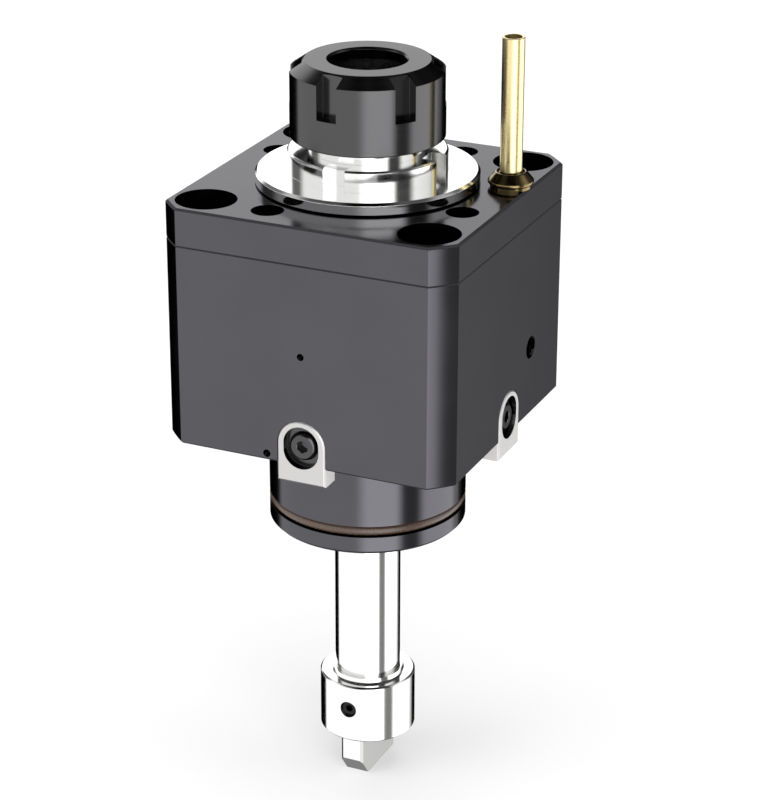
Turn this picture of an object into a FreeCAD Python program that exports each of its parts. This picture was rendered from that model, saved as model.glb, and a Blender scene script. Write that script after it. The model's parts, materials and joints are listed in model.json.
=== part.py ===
import FreeCAD, Part
import math
import os

from FreeCAD import Vector

# Axial driven tool holder with a 55 mm spigot and a collet spindle, in millimetres.
# The origin lies on the spigot axis in the mounting face. +Z points to the cutting tool.

# Block: lower housing and the cover screwed on its top
block_width = 84.0
block_corner_reach = 5.95
block_edge_chamfer = 0.6
seam_edge_chamfer = 0.25
housing_height = 56.5
cover_thickness = 10.5
cover_register_depth = 2.0
cover_register_clearance = 0.02
cover_top_z = housing_height + cover_thickness
half_width = block_width / 2.0
corner_turning_radius = math.hypot(half_width, half_width - block_corner_reach)

# Spigot that centres the holder in the turret, with its ring groove
spigot_radius = 27.5
spigot_length = 31.4
spigot_chamfer = 1.0
spigot_ring_section_radius = 1.3
spigot_ring_height = 6.8
spigot_groove_side_gap = 0.35

# Four mounting screws pass through the block from the top
mount_spacing = 64.0
mount_hole_radius = 5.5
mount_well_radius = 8.3
mount_well_floor_z = 30.0

# Cover screws, turned against the block's corners
cover_screw_margin = 4.8
cover_screw_start_angle = -22.0
cover_screw_well_radius = 4.4
cover_screw_well_depth = 6.2
cover_screw_thread_radius = 2.5
cover_screw_head_radius = 4.15
cover_screw_head_height = 5.0
cover_screw_socket_flats = 4.0
cover_screw_length = 16.0
cover_screw_count = 4

# Clearances shared by screws, seats and running parts
screw_hole_clearance = 0.25
thread_clearance = 0.05
running_gap = 0.05
open_gap = 0.3
ring_seat_gap = 0.02
screw_end_gap = 2.0

# How far a cutter stands past the face that it cuts, and a joined body past the joint
overcut = 1.0

# Screw proportions, as shares of the screw's own sizes
head_edge_share = 0.08
head_socket_floor_share = 0.45
set_screw_socket_share = 0.55
screw_tip_share = 0.3

# Front bearings: a pair of angular contact bearings with spacer rings between them
front_bore_radius = 17.5
front_outer_radius = 31.0
front_bearing_width = 14.0
front_ball_radius = 3.95
front_race_depth = 1.0
front_ball_fill_share = 0.74
front_spacer_wall = 2.6
lower_bearing_seat_z = 16.0

# Rear bearing: a deep groove bearing in the spigot
rear_bore_radius = 10.0
rear_outer_radius = 21.0
rear_bearing_width = 12.0
rear_ball_radius = 3.1
rear_race_depth = 0.6
rear_ball_fill_share = 0.6
rear_shoulder_height = 3.0
shaft_shoulder_height = 2.0
shaft_shoulder_length = 1.5
shaft_step_height = 1.5

# Balls and cages; the fill share above is the part of the pitch circle that the balls take up
race_gap = 0.08
cage_wall = 1.6
cage_pocket_gap = 0.15
cage_side_margin = 1.6
bearing_edge_chamfer = 0.6

# Locknut that clamps the front bearings' inner rings
locknut_wall = 8.0
locknut_width = 8.0
locknut_slot_width = 6.0
locknut_slot_depth = 2.6
locknut_slot_count = 4
locknut_screw_radius = 2.0
locknut_screw_setback = 1.5
locknut_chamfer = 0.7
locknut_thread_run_out = 1.0
locknut_pass_gap = 2.6
locknut_end_gap = 3.0

# Shaft seals, each a rubber ring with a sprung lip
front_seal_section = 6.5
front_seal_height = 7.0
rear_seal_height = 5.0
seal_setback = 0.5
seal_wall = 1.8
seal_web = 1.6
seal_lip_height = 2.4
seal_lip_back = 0.4
seal_lip_foot = 0.6
seal_spring_radius = 0.6
seal_spring_share = 0.4

# Snap rings
rear_snap_ring_thickness = 1.75
rear_snap_ring_depth = 1.5
rear_snap_ring_width = 4.2
rear_snap_ring_gap_angle = 50.0
shaft_snap_ring_thickness = 1.2
shaft_snap_ring_depth = 0.6
shaft_snap_ring_width = 2.2
snap_groove_run_out = 0.4

# Spindle
flange_radius = 30.2
flange_thickness = 3.35
flange_lift = 0.3
flange_chamfer = 0.7
collar_radius = 21.6
collar_height = 5.7
collar_chamfer = 0.5
collar_notch_width = 6.2
collar_notch_depth = 4.4
collar_notch_count = 4
seal_land_radius = 20.5
neck_step = 0.1
neck_length = 3.2
neck_run_out = 0.8
nose_thread_radius = 16.0
nose_thread_length = 13.7
nose_chamfer = 0.9
middle_shaft_radius = 13.5
middle_shaft_gap = 2.5
locknut_thread_radius = 17.0
drive_shaft_radius = 9.3
shaft_end_chamfer = 0.5
bearing_seat_lead = 0.5

# Taper for the collet
taper_mouth_radius = 13.0
taper_half_angle = 8.0
taper_length = 30.0
taper_relief_depth = 6.0
taper_relief_radius = 7.0
drill_point_angle = 59.0

# Collet nut
nut_wall = 4.85
nut_height = 20.9
nut_gap_to_collar = 3.5
nut_top_bevel_width = 4.05
nut_top_bevel_height = 2.8
nut_mouth_radius = 10.4
nut_mouth_chamfer = 0.6
nut_lip_thickness = 3.3
nut_bottom_chamfer = 0.3
nut_slot_count = 6
nut_slot_width = 6.0
nut_slot_depth = 3.5
nut_slot_floor = 8.8
nut_slot_start_angle = -96.9
nut_ring_cavity_radius = 14.6
nut_ring_cavity_height = 3.6
nut_cavity_run_out = 1.0
nut_lip_half_angle = 30.0
nut_entry_chamfer = 0.7
extractor_ring_height = 2.8
extractor_ring_wall = 2.0
extractor_ring_offset = 0.5

# Drive coupling on the shaft's end, with its tang
coupling_radius = 13.6
coupling_top_z = -80.8
coupling_length = 17.7
coupling_chamfer = 0.5
coupling_boss_radius = 10.4
coupling_boss_height = 1.2
coupling_boss_draft = 0.3
coupling_bore_depth = 13.5
tang_width = 6.7
tang_half_length = 11.4
tang_depth = 13.1
tang_bevel_inset = 5.1
tang_bevel_height = 5.7
shaft_key_width = 4.0
shaft_key_height = 3.2
shaft_key_length = 9.0
shaft_key_end_distance = 1.5
coupling_screw_drop = 7.6
coupling_screw_radius = 2.4
coupling_screw_length = 3.0
coupling_screw_setback = 1.0
coupling_screw_socket_flats = 2.0

# Locating keys on the block's four sides
key_width = 14.1
key_thickness = 6.0
key_proud = 0.25
key_top_z = 12.95
key_reach = 5.0
key_chamfer = 0.5
key_fit = 0.02
key_screw_z = 5.35
key_well_radius = 5.1
key_well_stretch = 0.9
key_well_depth = 2.2
key_bore_radius = 4.1
key_bore_depth = 4.3
key_screw_thread_radius = 2.0
key_screw_head_radius = 3.5
key_screw_head_height = 3.6
key_screw_socket_flats = 3.0
key_screw_length = 8.0

# Coolant way: inlet in the mounting face, cross drilling, riser and swivel nozzle
coolant_bore_radius = 2.3
cross_bore_y = 15.2
cross_bore_z = 20.2
inlet_x = 31.5
inlet_ring_section_radius = 1.0
inlet_ring_radius = 4.0
face_ring_squeeze = 0.1
plug_radius = 3.15
plug_length = 6.0
plug_setback = 0.6
plug_socket_flats = 3.0
nozzle_x = 36.6
nozzle_y = 11.5
nozzle_stub_radius = 4.4
nozzle_stub_length = 6.5
nozzle_flange_radius = 5.6
nozzle_flange_height = 1.0
nozzle_flange_chamfer = 0.2
nozzle_stub_chamfer = 0.5
nozzle_neck_radius = 4.9
nozzle_neck_height = 0.7
nozzle_cap_radius = 6.2
nozzle_cap_height = 3.3
nozzle_cap_rim_height = 0.95
nozzle_cap_chamfer = 0.3
nozzle_cap_top_radius = 4.4
nozzle_ball_radius = 4.2
nozzle_ball_lift = 1.5
nozzle_ball_gap = 0.06
nozzle_cap_mouth_radius = 3.75
nozzle_cap_mouth_height = 1.89
nozzle_cap_mouth_depth = 2.0
nozzle_swing_angle = 12.0
nozzle_seal_section_radius = 0.6
nozzle_seal_offset = 0.36
tube_radius = 3.0
tube_bore_radius = 2.3
tube_height = 41.0
tube_end_chamfer = 0.15
tube_socket_floor = 0.08

# Small drillings in the front face
oil_hole_radius = 1.0
oil_hole_z = 31.3
drain_hole_radius = 1.1
drain_hole_x = -10.2
drain_hole_z = 2.0
drain_hole_depth = 8.0

# Static seal between cover and housing
cover_ring_margin = 1.4
cover_ring_section_radius = 0.6
riser_ring_radius = 3.6

# Places that follow from the sizes above
z_axis = Vector(0, 0, 1)
origin = Vector(0, 0, 0)
cover_screw_circle_radius = front_outer_radius + cover_screw_margin
cover_ring_radius = front_outer_radius + cover_ring_margin
bearing_stack_top = housing_height - cover_register_depth
upper_bearing_bottom = bearing_stack_top - front_bearing_width
lower_bearing_bottom = lower_bearing_seat_z
lower_bearing_top = lower_bearing_bottom + front_bearing_width
locknut_radius = locknut_thread_radius + locknut_wall
locknut_bottom = lower_bearing_bottom - locknut_width
cavity_floor = locknut_bottom - locknut_end_gap
cavity_radius = locknut_radius + locknut_pass_gap
front_seal_outer_radius = seal_land_radius + front_seal_section
shaft_shoulder_radius = rear_bore_radius + shaft_shoulder_height
middle_bore_radius = middle_shaft_radius + middle_shaft_gap
rear_seal_bottom = -spigot_length + seal_setback
rear_seal_top = rear_seal_bottom + rear_seal_height
rear_snap_bottom = rear_seal_top + running_gap
rear_snap_top = rear_snap_bottom + rear_snap_ring_thickness
rear_bearing_bottom = rear_snap_top + running_gap
rear_bearing_top = rear_bearing_bottom + rear_bearing_width
rear_bore_floor = rear_bearing_top
flange_bottom = cover_top_z + flange_lift
flange_top = flange_bottom + flange_thickness
collar_top = flange_top + collar_height
nut_bottom = collar_top + nut_gap_to_collar
nut_top = nut_bottom + nut_height
nose_bottom = collar_top + neck_length
nose_top = nose_bottom + nose_thread_length
neck_radius = nose_thread_radius - neck_step
nut_radius = nose_thread_radius + nut_wall
front_seal_top = bearing_stack_top + seal_setback + front_seal_height
cover_lip_bottom = front_seal_top + seal_setback
coupling_bottom = coupling_top_z - coupling_length
shaft_end = coupling_top_z - coupling_bore_depth + open_gap
nozzle_ball_z = cover_top_z + nozzle_ball_lift
tube_bottom_z = nozzle_ball_z - tube_socket_floor
tube_top_z = cover_top_z + tube_height
spigot_ring_z = -spigot_length + spigot_ring_height


def turned(profile):
    """Solid of revolution about Z from (radius, height) corners."""
    corners = [Vector(radius, 0, height) for radius, height in profile]
    outline = Part.makePolygon(corners + corners[:1])
    return Part.Face(outline).revolve(origin, z_axis, 360)


def ring(inner, outer, low, high, chamfer=0.0):
    """Flat ring with equal chamfers on its outer and inner edges."""
    c = chamfer
    if c == 0:
        return turned([(inner, low), (outer, low), (outer, high), (inner, high)])
    return turned([
        (inner + c, low), (outer - c, low), (outer, low + c), (outer, high - c),
        (outer - c, high), (inner + c, high), (inner, high - c), (inner, low + c),
    ])


def rod(radius, low, high, x=0.0, y=0.0):
    """Upright cylinder between two heights."""
    return Part.makeCylinder(radius, high - low, Vector(x, y, low), z_axis)


def hex_prism(flats, low, high):
    """Upright hexagonal prism with the given width across flats."""
    corner_radius = flats / math.sqrt(3)
    corners = []
    for index in range(6):
        angle = math.radians(60 * index)
        corners.append(Vector(corner_radius * math.cos(angle), corner_radius * math.sin(angle), low))
    outline = Part.makePolygon(corners + corners[:1])
    return Part.Face(outline).extrude(Vector(0, 0, high - low))


def moved(shape, x=0.0, y=0.0, z=0.0):
    copy = shape.copy()
    copy.translate(Vector(x, y, z))
    return copy


def spun(shape, angle):
    """Copy turned about the Z axis."""
    copy = shape.copy()
    copy.rotate(origin, z_axis, angle)
    return copy


def around(shape, count, start=0.0):
    """Copies of a shape spaced evenly about the Z axis."""
    return [spun(shape, start + 360.0 * index / count) for index in range(count)]


def at_angle(radius, angle):
    """Plan position at a radius and an angle from +X."""
    return radius * math.cos(math.radians(angle)), radius * math.sin(math.radians(angle))


def to_side(shape):
    """Lays a shape built along +Z so that +Z points out of the front face, towards -Y."""
    copy = shape.copy()
    copy.rotate(origin, Vector(1, 0, 0), 90)
    return copy


def joined(shapes):
    return Part.makeCompound(shapes)


def mount_places():
    """Plan positions of the four mounting screws."""
    reach = mount_spacing / 2.0
    return [(reach, reach), (-reach, reach), (-reach, -reach), (reach, -reach)]


def cover_screw_places():
    step = 360.0 / cover_screw_count
    return [
        at_angle(cover_screw_circle_radius, cover_screw_start_angle + step * index)
        for index in range(cover_screw_count)
    ]


def block(low, high, low_chamfer, high_chamfer):
    """Square block with its upright corners turned about the spindle axis, and chamfered ends."""
    shape = Part.makeBox(block_width, block_width, high - low, Vector(-half_width, -half_width, low))
    shape = shape.common(rod(corner_turning_radius, low, high))
    for height, size in ((low, low_chamfer), (high, high_chamfer)):
        rim = [
            edge for edge in shape.Edges
            if all(abs(vertex.Point.z - height) < 1e-6 for vertex in edge.Vertexes)
        ]
        shape = shape.makeChamfer(size, rim)
    return shape


def cap_screw(thread_radius, length, head_radius, head_height, socket_flats):
    """Socket head screw along -Z with the head's seat at height 0."""
    edge = head_height * head_edge_share
    tip = thread_radius * screw_tip_share
    shape = turned([
        (0, -length), (thread_radius - tip, -length), (thread_radius, -length + tip),
        (thread_radius, 0), (head_radius, 0), (head_radius, head_height - edge),
        (head_radius - edge, head_height), (0, head_height),
    ])
    return shape.cut(hex_prism(socket_flats, head_height * head_socket_floor_share, head_height + overcut))


def set_screw(radius, length, socket_flats):
    """Headless screw along -Z with its socket end at height 0."""
    tip = radius * screw_tip_share
    shape = turned([
        (0, -length), (radius - tip, -length), (radius, -length + tip),
        (radius, -tip / 2.0), (radius - tip / 2.0, 0), (0, 0),
    ])
    return shape.cut(hex_prism(socket_flats, -length * set_screw_socket_share, overcut))


def key_outline(grow):
    """Front view of a locating key, as a face in the XZ plane; grow widens it for its slot."""
    half = key_width / 2.0 + grow
    crown = key_top_z - key_width / 2.0
    foot = -key_reach - grow
    left = Vector(-half, 0, crown)
    right = Vector(half, 0, crown)
    edges = [
        Part.LineSegment(Vector(-half, 0, foot), left).toShape(),
        Part.Arc(left, Vector(0, 0, crown + half), right).toShape(),
        Part.LineSegment(right, Vector(half, 0, foot)).toShape(),
        Part.LineSegment(Vector(half, 0, foot), Vector(-half, 0, foot)).toShape(),
    ]
    return Part.Face(Part.Wire(edges))


def key_slot():
    """Cutter for one key's slot, on the front side."""
    depth = key_thickness - key_proud + key_fit
    cutter = key_outline(key_fit).extrude(Vector(0, depth + overcut, 0))
    return moved(cutter, y=-half_width - overcut)


def key_screw_seat():
    """Depth of the key screws' head seat, as a Y position on the front side."""
    return -half_width - key_proud + key_bore_depth


def housing_body():
    shape = block(0, housing_height, block_edge_chamfer, seam_edge_chamfer)
    groove_half = spigot_ring_section_radius + spigot_groove_side_gap
    groove_radius = spigot_radius - 2 * spigot_ring_section_radius
    spigot = turned([
        (0, -spigot_length), (spigot_radius - spigot_chamfer, -spigot_length),
        (spigot_radius, -spigot_length + spigot_chamfer), (spigot_radius, spigot_ring_z - groove_half),
        (groove_radius, spigot_ring_z - groove_half), (groove_radius, spigot_ring_z + groove_half),
        (spigot_radius, spigot_ring_z + groove_half), (spigot_radius, overcut), (0, overcut),
    ])
    shape = shape.fuse(spigot)
    snap_radius = rear_outer_radius + rear_snap_ring_depth
    rear_ledge_radius = rear_outer_radius - rear_shoulder_height
    bore = turned([
        (0, -spigot_length - overcut), (rear_outer_radius, -spigot_length - overcut),
        (rear_outer_radius, rear_snap_bottom - running_gap),
        (snap_radius, rear_snap_bottom - running_gap),
        (snap_radius, rear_snap_top + running_gap), (rear_outer_radius, rear_snap_top + running_gap),
        (rear_outer_radius, rear_bore_floor), (rear_ledge_radius, rear_bore_floor),
        (middle_bore_radius, rear_bore_floor + rear_shoulder_height), (middle_bore_radius, cavity_floor),
        (cavity_radius, cavity_floor), (cavity_radius, lower_bearing_bottom),
        (front_outer_radius, lower_bearing_bottom),
        (front_outer_radius, housing_height - bearing_edge_chamfer),
        (front_outer_radius + bearing_edge_chamfer, housing_height),
        (front_outer_radius + bearing_edge_chamfer, housing_height + overcut),
        (0, housing_height + overcut),
    ])
    cutters = [bore, cover_ring_groove(), riser_ring_groove()]
    for x, y in mount_places():
        cutters.append(rod(mount_hole_radius, -overcut, housing_height + overcut, x, y))
        cutters.append(rod(mount_well_radius, mount_well_floor_z, housing_height + overcut, x, y))
    hole_depth = cover_screw_length - (cover_thickness - cover_screw_well_depth) + screw_end_gap
    for x, y in cover_screw_places():
        radius = cover_screw_thread_radius + thread_clearance
        cutters.append(rod(radius, housing_height - hole_depth, housing_height + overcut, x, y))
    cutters += around(key_slot(), 4)
    cutters += around(key_screw_hole(), 4)
    cutters += [oil_hole(), drain_hole()] + coolant_drillings()
    return shape.cut(joined(cutters)).removeSplitter()


def key_screw_hole():
    """Tapped hole behind one key, on the front side."""
    radius = key_screw_thread_radius + thread_clearance
    depth = key_screw_length + screw_end_gap
    hole = Part.makeCylinder(radius, depth, Vector(0, key_screw_seat(), key_screw_z), Vector(0, 1, 0))
    return hole


def oil_hole():
    depth = half_width - front_outer_radius + overcut
    start = Vector(0, -half_width - overcut, oil_hole_z)
    return Part.makeCylinder(oil_hole_radius, depth + overcut, start, Vector(0, 1, 0))


def drain_hole():
    start = Vector(drain_hole_x, -half_width - overcut, drain_hole_z)
    return Part.makeCylinder(drain_hole_radius, drain_hole_depth + overcut, start, Vector(0, 1, 0))


def coolant_drillings():
    """Inlet, cross drilling with its plug thread, and riser, inside the housing."""
    inward = Vector(-1, 0, 0)
    cross_start = Vector(half_width + overcut, cross_bore_y, cross_bore_z)
    cross = Part.makeCylinder(coolant_bore_radius, half_width - inlet_x + overcut, cross_start, inward)
    thread_depth = plug_length + plug_setback + overcut
    plug_thread = Part.makeCylinder(plug_radius + thread_clearance, thread_depth, cross_start, inward)
    inlet = rod(coolant_bore_radius, -overcut, cross_bore_z, inlet_x, cross_bore_y)
    section = inlet_ring_section_radius
    recess_depth = 2 * section - face_ring_squeeze
    recess = rod(inlet_ring_radius + section, -overcut, recess_depth, inlet_x, cross_bore_y)
    riser = rod(coolant_bore_radius, cross_bore_z, housing_height + overcut, nozzle_x, nozzle_y)
    return [cross, plug_thread, inlet, recess, riser]


def seal_groove(centre_radius):
    """Ring groove in the seam face, as deep as its sealing ring is thick."""
    half = cover_ring_section_radius
    floor = housing_height - 2 * half
    return ring(centre_radius - half, centre_radius + half, floor, housing_height + overcut)


def cover_ring_groove():
    """Face groove for the static ring between housing and cover."""
    return seal_groove(cover_ring_radius)


def riser_ring_groove():
    return moved(seal_groove(riser_ring_radius), nozzle_x, nozzle_y)


def torus_ring(centre_radius, section_radius, height):
    return Part.makeTorus(centre_radius, section_radius, Vector(0, 0, height), z_axis)


def front_cover():
    shape = block(housing_height, cover_top_z, seam_edge_chamfer, block_edge_chamfer)
    register_radius = front_outer_radius - cover_register_clearance
    register = rod(register_radius, bearing_stack_top, housing_height + overcut)
    shape = shape.fuse(register)
    lip_radius = seal_land_radius + open_gap * 2
    bore = turned([
        (0, bearing_stack_top - overcut), (front_seal_outer_radius, bearing_stack_top - overcut),
        (front_seal_outer_radius, cover_lip_bottom), (lip_radius, cover_lip_bottom),
        (lip_radius, cover_top_z + overcut), (0, cover_top_z + overcut),
    ])
    cutters = [bore]
    for x, y in mount_places():
        cutters.append(rod(mount_well_radius, housing_height - overcut, cover_top_z + overcut, x, y))
    for x, y in cover_screw_places():
        hole = cover_screw_thread_radius + screw_hole_clearance
        cutters.append(rod(hole, housing_height - overcut, cover_top_z + overcut, x, y))
        well_floor = cover_top_z - cover_screw_well_depth
        cutters.append(rod(cover_screw_well_radius, well_floor, cover_top_z + overcut, x, y))
    stub_floor = cover_top_z - nozzle_stub_length - open_gap
    stub_radius = nozzle_stub_radius + thread_clearance
    cutters.append(rod(stub_radius, stub_floor, cover_top_z + overcut, nozzle_x, nozzle_y))
    cutters.append(rod(coolant_bore_radius, housing_height - overcut, cover_top_z, nozzle_x, nozzle_y))
    return shape.cut(joined(cutters)).removeSplitter()


def cover_screws():
    screw = cap_screw(
        cover_screw_thread_radius, cover_screw_length, cover_screw_head_radius,
        cover_screw_head_height, cover_screw_socket_flats,
    )
    seat = cover_top_z - cover_screw_well_depth
    return joined([moved(screw, x, y, seat) for x, y in cover_screw_places()])


def cover_o_ring():
    section = cover_ring_section_radius
    return torus_ring(cover_ring_radius, section, housing_height - section)


def riser_o_ring():
    section = cover_ring_section_radius
    return moved(torus_ring(riser_ring_radius, section, housing_height - section), nozzle_x, nozzle_y)


def spigot_o_ring():
    """Ring at its size when squeezed by the turret's bore, so it doesn't stand proud of the spigot."""
    centre_radius = spigot_radius - spigot_ring_section_radius
    return torus_ring(centre_radius, spigot_ring_section_radius, spigot_ring_z)


def inlet_o_ring():
    """Face ring at the coolant inlet, squeezed flush with the mounting face."""
    section = inlet_ring_section_radius
    inner = inlet_ring_radius - section
    outer = inlet_ring_radius + section
    height = 2 * section - face_ring_squeeze
    return moved(ring(inner, outer, 0, height, section * 0.5), inlet_x, cross_bore_y)


def shaft_seal(inner, outer, low, high):
    """Rubber ring with an outer wall, a web and a pointed lip; the web is at the top."""
    lip_top = high - seal_web
    lip_tip = (low + lip_top) / 2.0
    front = inner + seal_wall * (1 - seal_spring_share)
    back = inner + seal_wall + seal_lip_back
    foot = low + seal_lip_foot
    return turned([
        (outer, low), (outer, high), (front, high), (front, lip_tip + seal_lip_height / 2.0),
        (inner, lip_tip), (front, foot), (back, foot),
        (back, lip_top), (outer - seal_wall, lip_top), (outer - seal_wall, low),
    ])


def front_shaft_seal():
    inner = seal_land_radius + running_gap
    low = bearing_stack_top + seal_setback
    return shaft_seal(inner, front_seal_outer_radius, low, front_seal_top)


def rear_shaft_seal():
    inner = drive_shaft_radius + running_gap
    shape = shaft_seal(inner, rear_outer_radius, rear_seal_bottom, rear_seal_top)
    middle = Vector(0, 0, (rear_seal_bottom + rear_seal_top) / 2.0)
    shape.rotate(middle, Vector(1, 0, 0), 180)
    return shape


def seal_spring(inner, height):
    """Garter spring that rests on the lip's back."""
    return torus_ring(inner + seal_wall + seal_lip_back + seal_spring_radius, seal_spring_radius, height)


def front_seal_spring():
    height = bearing_stack_top + seal_setback + front_seal_height * seal_spring_share
    return seal_spring(seal_land_radius + running_gap, height)


def rear_seal_spring():
    height = rear_seal_top - rear_seal_height * seal_spring_share
    return seal_spring(drive_shaft_radius + running_gap, height)


def bearing_outer_ring(bearing, low):
    """Outer ring with its ball groove; one shoulder is cut back where the bearing is angular."""
    middle = low + bearing["width"] / 2.0
    high = low + bearing["width"]
    shape = ring(bearing["outer_land"], bearing["outer"], low, high, bearing_edge_chamfer)
    groove = torus_ring(bearing["pitch"], bearing["ball"] + race_gap, middle)
    shape = shape.cut(groove)
    if bearing["angular"]:
        relief_radius = bearing["outer_land"] + bearing["race_depth"]
        relief = rod(relief_radius, middle, high + overcut)
        shape = shape.cut(relief)
    return shape


def bearing_inner_ring(bearing, low):
    middle = low + bearing["width"] / 2.0
    high = low + bearing["width"]
    shape = ring(bearing["bore"], bearing["inner_land"], low, high, bearing_edge_chamfer)
    return shape.cut(torus_ring(bearing["pitch"], bearing["ball"] + race_gap, middle))


def bearing_balls(bearing, low):
    middle = low + bearing["width"] / 2.0
    ball = Part.makeSphere(bearing["ball"], Vector(bearing["pitch"], 0, middle))
    return joined(around(ball, bearing["count"]))


def bearing_cage(bearing, low):
    """Ring between the races with one round pocket for each ball."""
    middle = low + bearing["width"] / 2.0
    inner = bearing["pitch"] - cage_wall / 2.0
    outer = bearing["pitch"] + cage_wall / 2.0
    shape = ring(inner, outer, low + cage_side_margin, low + bearing["width"] - cage_side_margin)
    pocket_radius = bearing["ball"] + cage_pocket_gap
    start = Vector(inner - cage_wall, 0, middle)
    pocket = Part.makeCylinder(pocket_radius, cage_wall * 4, start, Vector(1, 0, 0))
    return shape.cut(joined(around(pocket, bearing["count"])))


front_bearing = {
    "bore": front_bore_radius,
    "outer": front_outer_radius,
    "width": front_bearing_width,
    "ball": front_ball_radius,
    "race_depth": front_race_depth,
    "fill_share": front_ball_fill_share,
    "angular": True,
}

rear_bearing = {
    "bore": rear_bore_radius,
    "outer": rear_outer_radius,
    "width": rear_bearing_width,
    "ball": rear_ball_radius,
    "race_depth": rear_race_depth,
    "fill_share": rear_ball_fill_share,
    "angular": False,
}

for bearing in (front_bearing, rear_bearing):
    land_gap = bearing["ball"] - bearing["race_depth"]
    bearing["pitch"] = (bearing["bore"] + bearing["outer"]) / 2.0
    bearing["inner_land"] = bearing["pitch"] - land_gap
    bearing["outer_land"] = bearing["pitch"] + land_gap
    filled_length = 2 * math.pi * bearing["pitch"] * bearing["fill_share"]
    bearing["count"] = int(filled_length / (2 * bearing["ball"]))


def outer_spacer():
    inner = front_outer_radius - front_spacer_wall
    return ring(inner, front_outer_radius, lower_bearing_top, upper_bearing_bottom)


def inner_spacer():
    outer = front_bore_radius + front_spacer_wall
    return ring(front_bore_radius, outer, lower_bearing_top, upper_bearing_bottom)


def snap_ring(inner, outer, low, high, gap_angle):
    """Open ring with a gap at the back."""
    shape = ring(inner, outer, low, high)
    reach = outer * 2
    left = Vector(*at_angle(reach, 90 + gap_angle / 2.0), low - overcut)
    right = Vector(*at_angle(reach, 90 - gap_angle / 2.0), low - overcut)
    apex = Vector(0, 0, low - overcut)
    sector = Part.Face(Part.makePolygon([apex, right, left, apex]))
    wedge = sector.extrude(Vector(0, 0, high - low + 2 * overcut))
    return shape.cut(wedge)


def rear_snap_ring():
    outer = rear_outer_radius + rear_snap_ring_depth - ring_seat_gap
    inner = outer - rear_snap_ring_width
    return snap_ring(inner, outer, rear_snap_bottom, rear_snap_top, rear_snap_ring_gap_angle)


def shaft_snap_ring():
    inner = rear_bore_radius - shaft_snap_ring_depth + ring_seat_gap
    high = rear_bearing_bottom
    low = high - shaft_snap_ring_thickness
    return snap_ring(inner, inner + shaft_snap_ring_width, low, high, rear_snap_ring_gap_angle)


def spindle_shaft():
    """Flange, collar, threaded nose, bearing seats and drive shaft, turned as one piece."""
    taper_end_radius = taper_mouth_radius - taper_length * math.tan(math.radians(taper_half_angle))
    taper_bottom = nose_top - taper_length
    relief_bottom = taper_bottom - taper_relief_depth
    point_height = taper_relief_radius / math.tan(math.radians(drill_point_angle))
    groove_radius = rear_bore_radius - shaft_snap_ring_depth
    snap_top = rear_bearing_bottom
    snap_low = snap_top - shaft_snap_ring_thickness
    shoulder_top = rear_bearing_top + shaft_shoulder_length
    shape = turned([
        (0, shaft_end), (drive_shaft_radius - shaft_end_chamfer, shaft_end),
        (drive_shaft_radius, shaft_end + shaft_end_chamfer),
        (drive_shaft_radius, snap_low - 2 * snap_groove_run_out),
        (groove_radius, snap_low - snap_groove_run_out),
        (groove_radius, snap_top), (rear_bore_radius, snap_top), (rear_bore_radius, rear_bearing_top),
        (shaft_shoulder_radius, rear_bearing_top), (shaft_shoulder_radius, shoulder_top),
        (middle_shaft_radius, shoulder_top + shaft_step_height),
        (middle_shaft_radius, locknut_bottom - locknut_thread_run_out),
        (locknut_thread_radius, locknut_bottom), (locknut_thread_radius, lower_bearing_bottom),
        (front_bore_radius, lower_bearing_bottom + bearing_seat_lead),
        (front_bore_radius, bearing_stack_top),
        (seal_land_radius, bearing_stack_top), (seal_land_radius, flange_bottom),
        (flange_radius - flange_chamfer, flange_bottom), (flange_radius, flange_bottom + flange_chamfer),
        (flange_radius, flange_top - flange_chamfer), (flange_radius - flange_chamfer, flange_top),
        (collar_radius, flange_top), (collar_radius, collar_top - collar_chamfer),
        (collar_radius - collar_chamfer, collar_top), (neck_radius, collar_top),
        (neck_radius, nose_bottom - neck_run_out), (nose_thread_radius, nose_bottom),
        (nose_thread_radius, nose_top - nose_chamfer), (nose_thread_radius - nose_chamfer, nose_top),
        (taper_mouth_radius, nose_top), (taper_end_radius, taper_bottom),
        (taper_relief_radius, taper_bottom), (taper_relief_radius, relief_bottom),
        (0, relief_bottom - point_height),
    ])
    notch = Part.makeBox(
        collar_notch_depth + overcut, collar_notch_width, collar_height + overcut,
        Vector(collar_radius - collar_notch_depth, -collar_notch_width / 2.0, flange_top),
    )
    keyway = shaft_key_blank(0.0)
    cutters = around(notch, collar_notch_count) + [keyway]
    return shape.cut(joined(cutters))


def shaft_key_blank(gap):
    """Parallel key between shaft and coupling, opposite the set screw; gap shrinks it in its seat."""
    low = shaft_end + shaft_key_end_distance + gap
    high = low + shaft_key_length - 2 * gap
    top = drive_shaft_radius + shaft_key_height / 2.0 - gap
    bottom = drive_shaft_radius - shaft_key_height / 2.0 + gap
    width = shaft_key_width - 2 * gap
    return Part.makeBox(width, top - bottom, high - low, Vector(-width / 2.0, bottom, low))


def bearing_locknut():
    thread = locknut_thread_radius + thread_clearance
    shape = ring(thread, locknut_radius, locknut_bottom, lower_bearing_bottom, locknut_chamfer)
    slot = Part.makeBox(
        locknut_slot_depth + overcut, locknut_slot_width, locknut_width + 2 * overcut,
        Vector(locknut_radius - locknut_slot_depth, -locknut_slot_width / 2.0, locknut_bottom - overcut),
    )
    hole_radius = locknut_screw_radius + thread_clearance
    middle = (locknut_bottom + lower_bearing_bottom) / 2.0
    hole = Part.makeCylinder(hole_radius, locknut_radius, Vector(0, 0, middle), Vector(1, 0, 0))
    screw_angle = 180.0 / locknut_slot_count
    return shape.cut(joined(around(slot, locknut_slot_count) + around(hole, 2, screw_angle)))


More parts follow.
